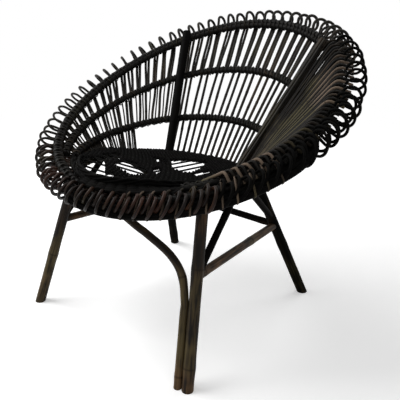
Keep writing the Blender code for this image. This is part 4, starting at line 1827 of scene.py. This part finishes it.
@dataclass
class Studio:
    """Pale floor, soft light and the camera at the photograph's angle.

    To the camera the floor turns plain white between the distances of white_range.
    """

    floor_size: float = 30.0
    floor_colours: tuple[Triple, Triple] = ((0.955, 0.955, 0.955), (0.97, 0.97, 0.97))
    floor_scale: float = 0.4
    floor_roughness: float = 0.9
    floor_glow: float = 0.30
    white_range: Pair = (1.3, 2.6)
    world_light: float = 0.32
    lamps: tuple[Lamp, ...] = (
        Lamp("key_light", (-2.1, -1.2, 2.6), 2.2, 100.0), Lamp("fill_light", (2.4, -1.8, 1.8), 2.6, 10.0),
        Lamp("back_light", (0.2, 2.4, 2.6), 2.2, 22.0))
    lamp_target: Triple = (0.0, 0.0, 0.35)
    azimuth: float = math.radians(42.079)
    elevation: float = math.radians(18.933)
    target: Triple = (0.0, -0.0722, 0.34)
    distance: float = 1.3588
    lens: float = 48.26
    sensor: float = 36.0
    shift: Pair = (0.0673, -0.0458)

    def build(self) -> None:
        """Set up everything around the chair."""
        bpy.context.scene.view_settings.view_transform = "Standard"
        self.add_floor()
        self.add_world()
        for lamp in self.lamps:
            self.add_lamp(lamp)
        self.add_camera()

    def add_floor(self) -> None:
        """Lay a pale floor that keeps the chair's shadow."""
        half = self.floor_size / 2
        mesh = bpy.data.meshes.new("studio_floor")
        corners = [(-half, -half, 0.0), (half, -half, 0.0), (half, half, 0.0), (-half, half, 0.0)]
        mesh.from_pydata(corners, [], [(0, 1, 2, 3)])
        mesh.materials.append(self.floor_material())
        floor = bpy.data.objects.new("studio_floor", mesh)
        bpy.context.scene.collection.objects.link(floor)

    def floor_material(self) -> bpy.types.Material:
        """Pale floor that runs out into plain white, to the camera, away from the chair.

        Returns:
            The material.
        """
        material = bpy.data.materials.new("studio_floor")
        tree = ShaderTree(material)
        place = tree.value("ShaderNodeTexCoord", output="Object")
        colour = tree.mix(tree.noise(place, self.floor_scale), *self.floor_colours)
        away = tree.value("ShaderNodeVectorMath", {"operation": "LENGTH"}, {0: place}, output="Value")
        seen = self.seen_rays(tree)
        white = tree.ramp(away, *self.white_range) * seen
        shader = tree.value("ShaderNodeBsdfPrincipled", {}, {
            "Base Color": colour, "Roughness": self.floor_roughness, "Specular IOR Level": 0.0})
        glow = tree.value("ShaderNodeEmission", {}, {"Strength": seen * self.floor_glow})
        lit = tree.value("ShaderNodeAddShader", {}, {0: shader, 1: glow})
        plain = tree.value("ShaderNodeEmission", {}, {"Strength": 1.0})
        surface = tree.value("ShaderNodeMixShader", {}, {0: white, 1: lit, 2: plain})
        tree.add("ShaderNodeOutputMaterial", {}, {"Surface": surface})
        return material

    def add_world(self) -> None:
        """White to look at, softer as light."""
        world = bpy.data.worlds.new("studio")
        bpy.context.scene.world = world
        tree = ShaderTree(world)
        strength = self.seen_rays(tree) * (1.0 - self.world_light) + self.world_light
        sockets = {"Color": (1.0, 1.0, 1.0, 1.0), "Strength": strength}
        background = tree.value("ShaderNodeBackground", {}, sockets)
        tree.add("ShaderNodeOutputWorld", {}, {"Surface": background})

    @staticmethod
    def seen_rays(tree: ShaderTree) -> Value:
        """One for rays from the camera, from a gloss or through a clear body, otherwise nothing."""
        rays = [tree.value("ShaderNodeLightPath", output=f"Is {kind} Ray")
                for kind in ("Camera", "Glossy", "Transmission")]
        return (rays[0] + rays[1] + rays[2]).math("MINIMUM", 1.0)

    def add_lamp(self, lamp: Lamp) -> None:
        """Hang a lamp that points at the chair.

        Args:
            lamp: The lamp.
        """
        light = bpy.data.lights.new(lamp.name, "AREA")
        light.size = lamp.size
        light.energy = lamp.power
        item = bpy.data.objects.new(lamp.name, light)
        item.location = lamp.place
        item.rotation_euler = (Vector(self.lamp_target) - item.location).to_track_quat("-Z", "Y").to_euler()
        bpy.context.scene.collection.objects.link(item)

    def add_camera(self) -> None:
        """Set the camera at the photograph's angle."""
        data = bpy.data.cameras.new("camera")
        data.lens = self.lens
        data.sensor_width = self.sensor
        data.shift_x, data.shift_y = self.shift
        camera = bpy.data.objects.new("camera", data)
        level = math.cos(self.elevation)
        away = Vector((math.sin(self.azimuth) * level, -math.cos(self.azimuth) * level,
                       math.sin(self.elevation)))
        camera.location = Vector(self.target) + away * self.distance
        camera.rotation_euler = (-away).to_track_quat("-Z", "Y").to_euler()
        bpy.context.scene.collection.objects.link(camera)
        bpy.context.scene.camera = camera


def main() -> None:
    """Build the chair's looks in order."""
    logging.basicConfig(level=logging.INFO, format="%(name)s: %(message)s")
    shop = Workshop()
    basket = Basket()
    Studio().build()
    LegFrame(basket).build(shop)
    roll = FrontRoll(basket)
    roll.build(shop)
    HoopSet(basket, roll).build(shop)
    WallWeave(basket, roll).build(shop)
    LacedSeat(basket).build(shop)


if __name__ == "__main__":
    main()
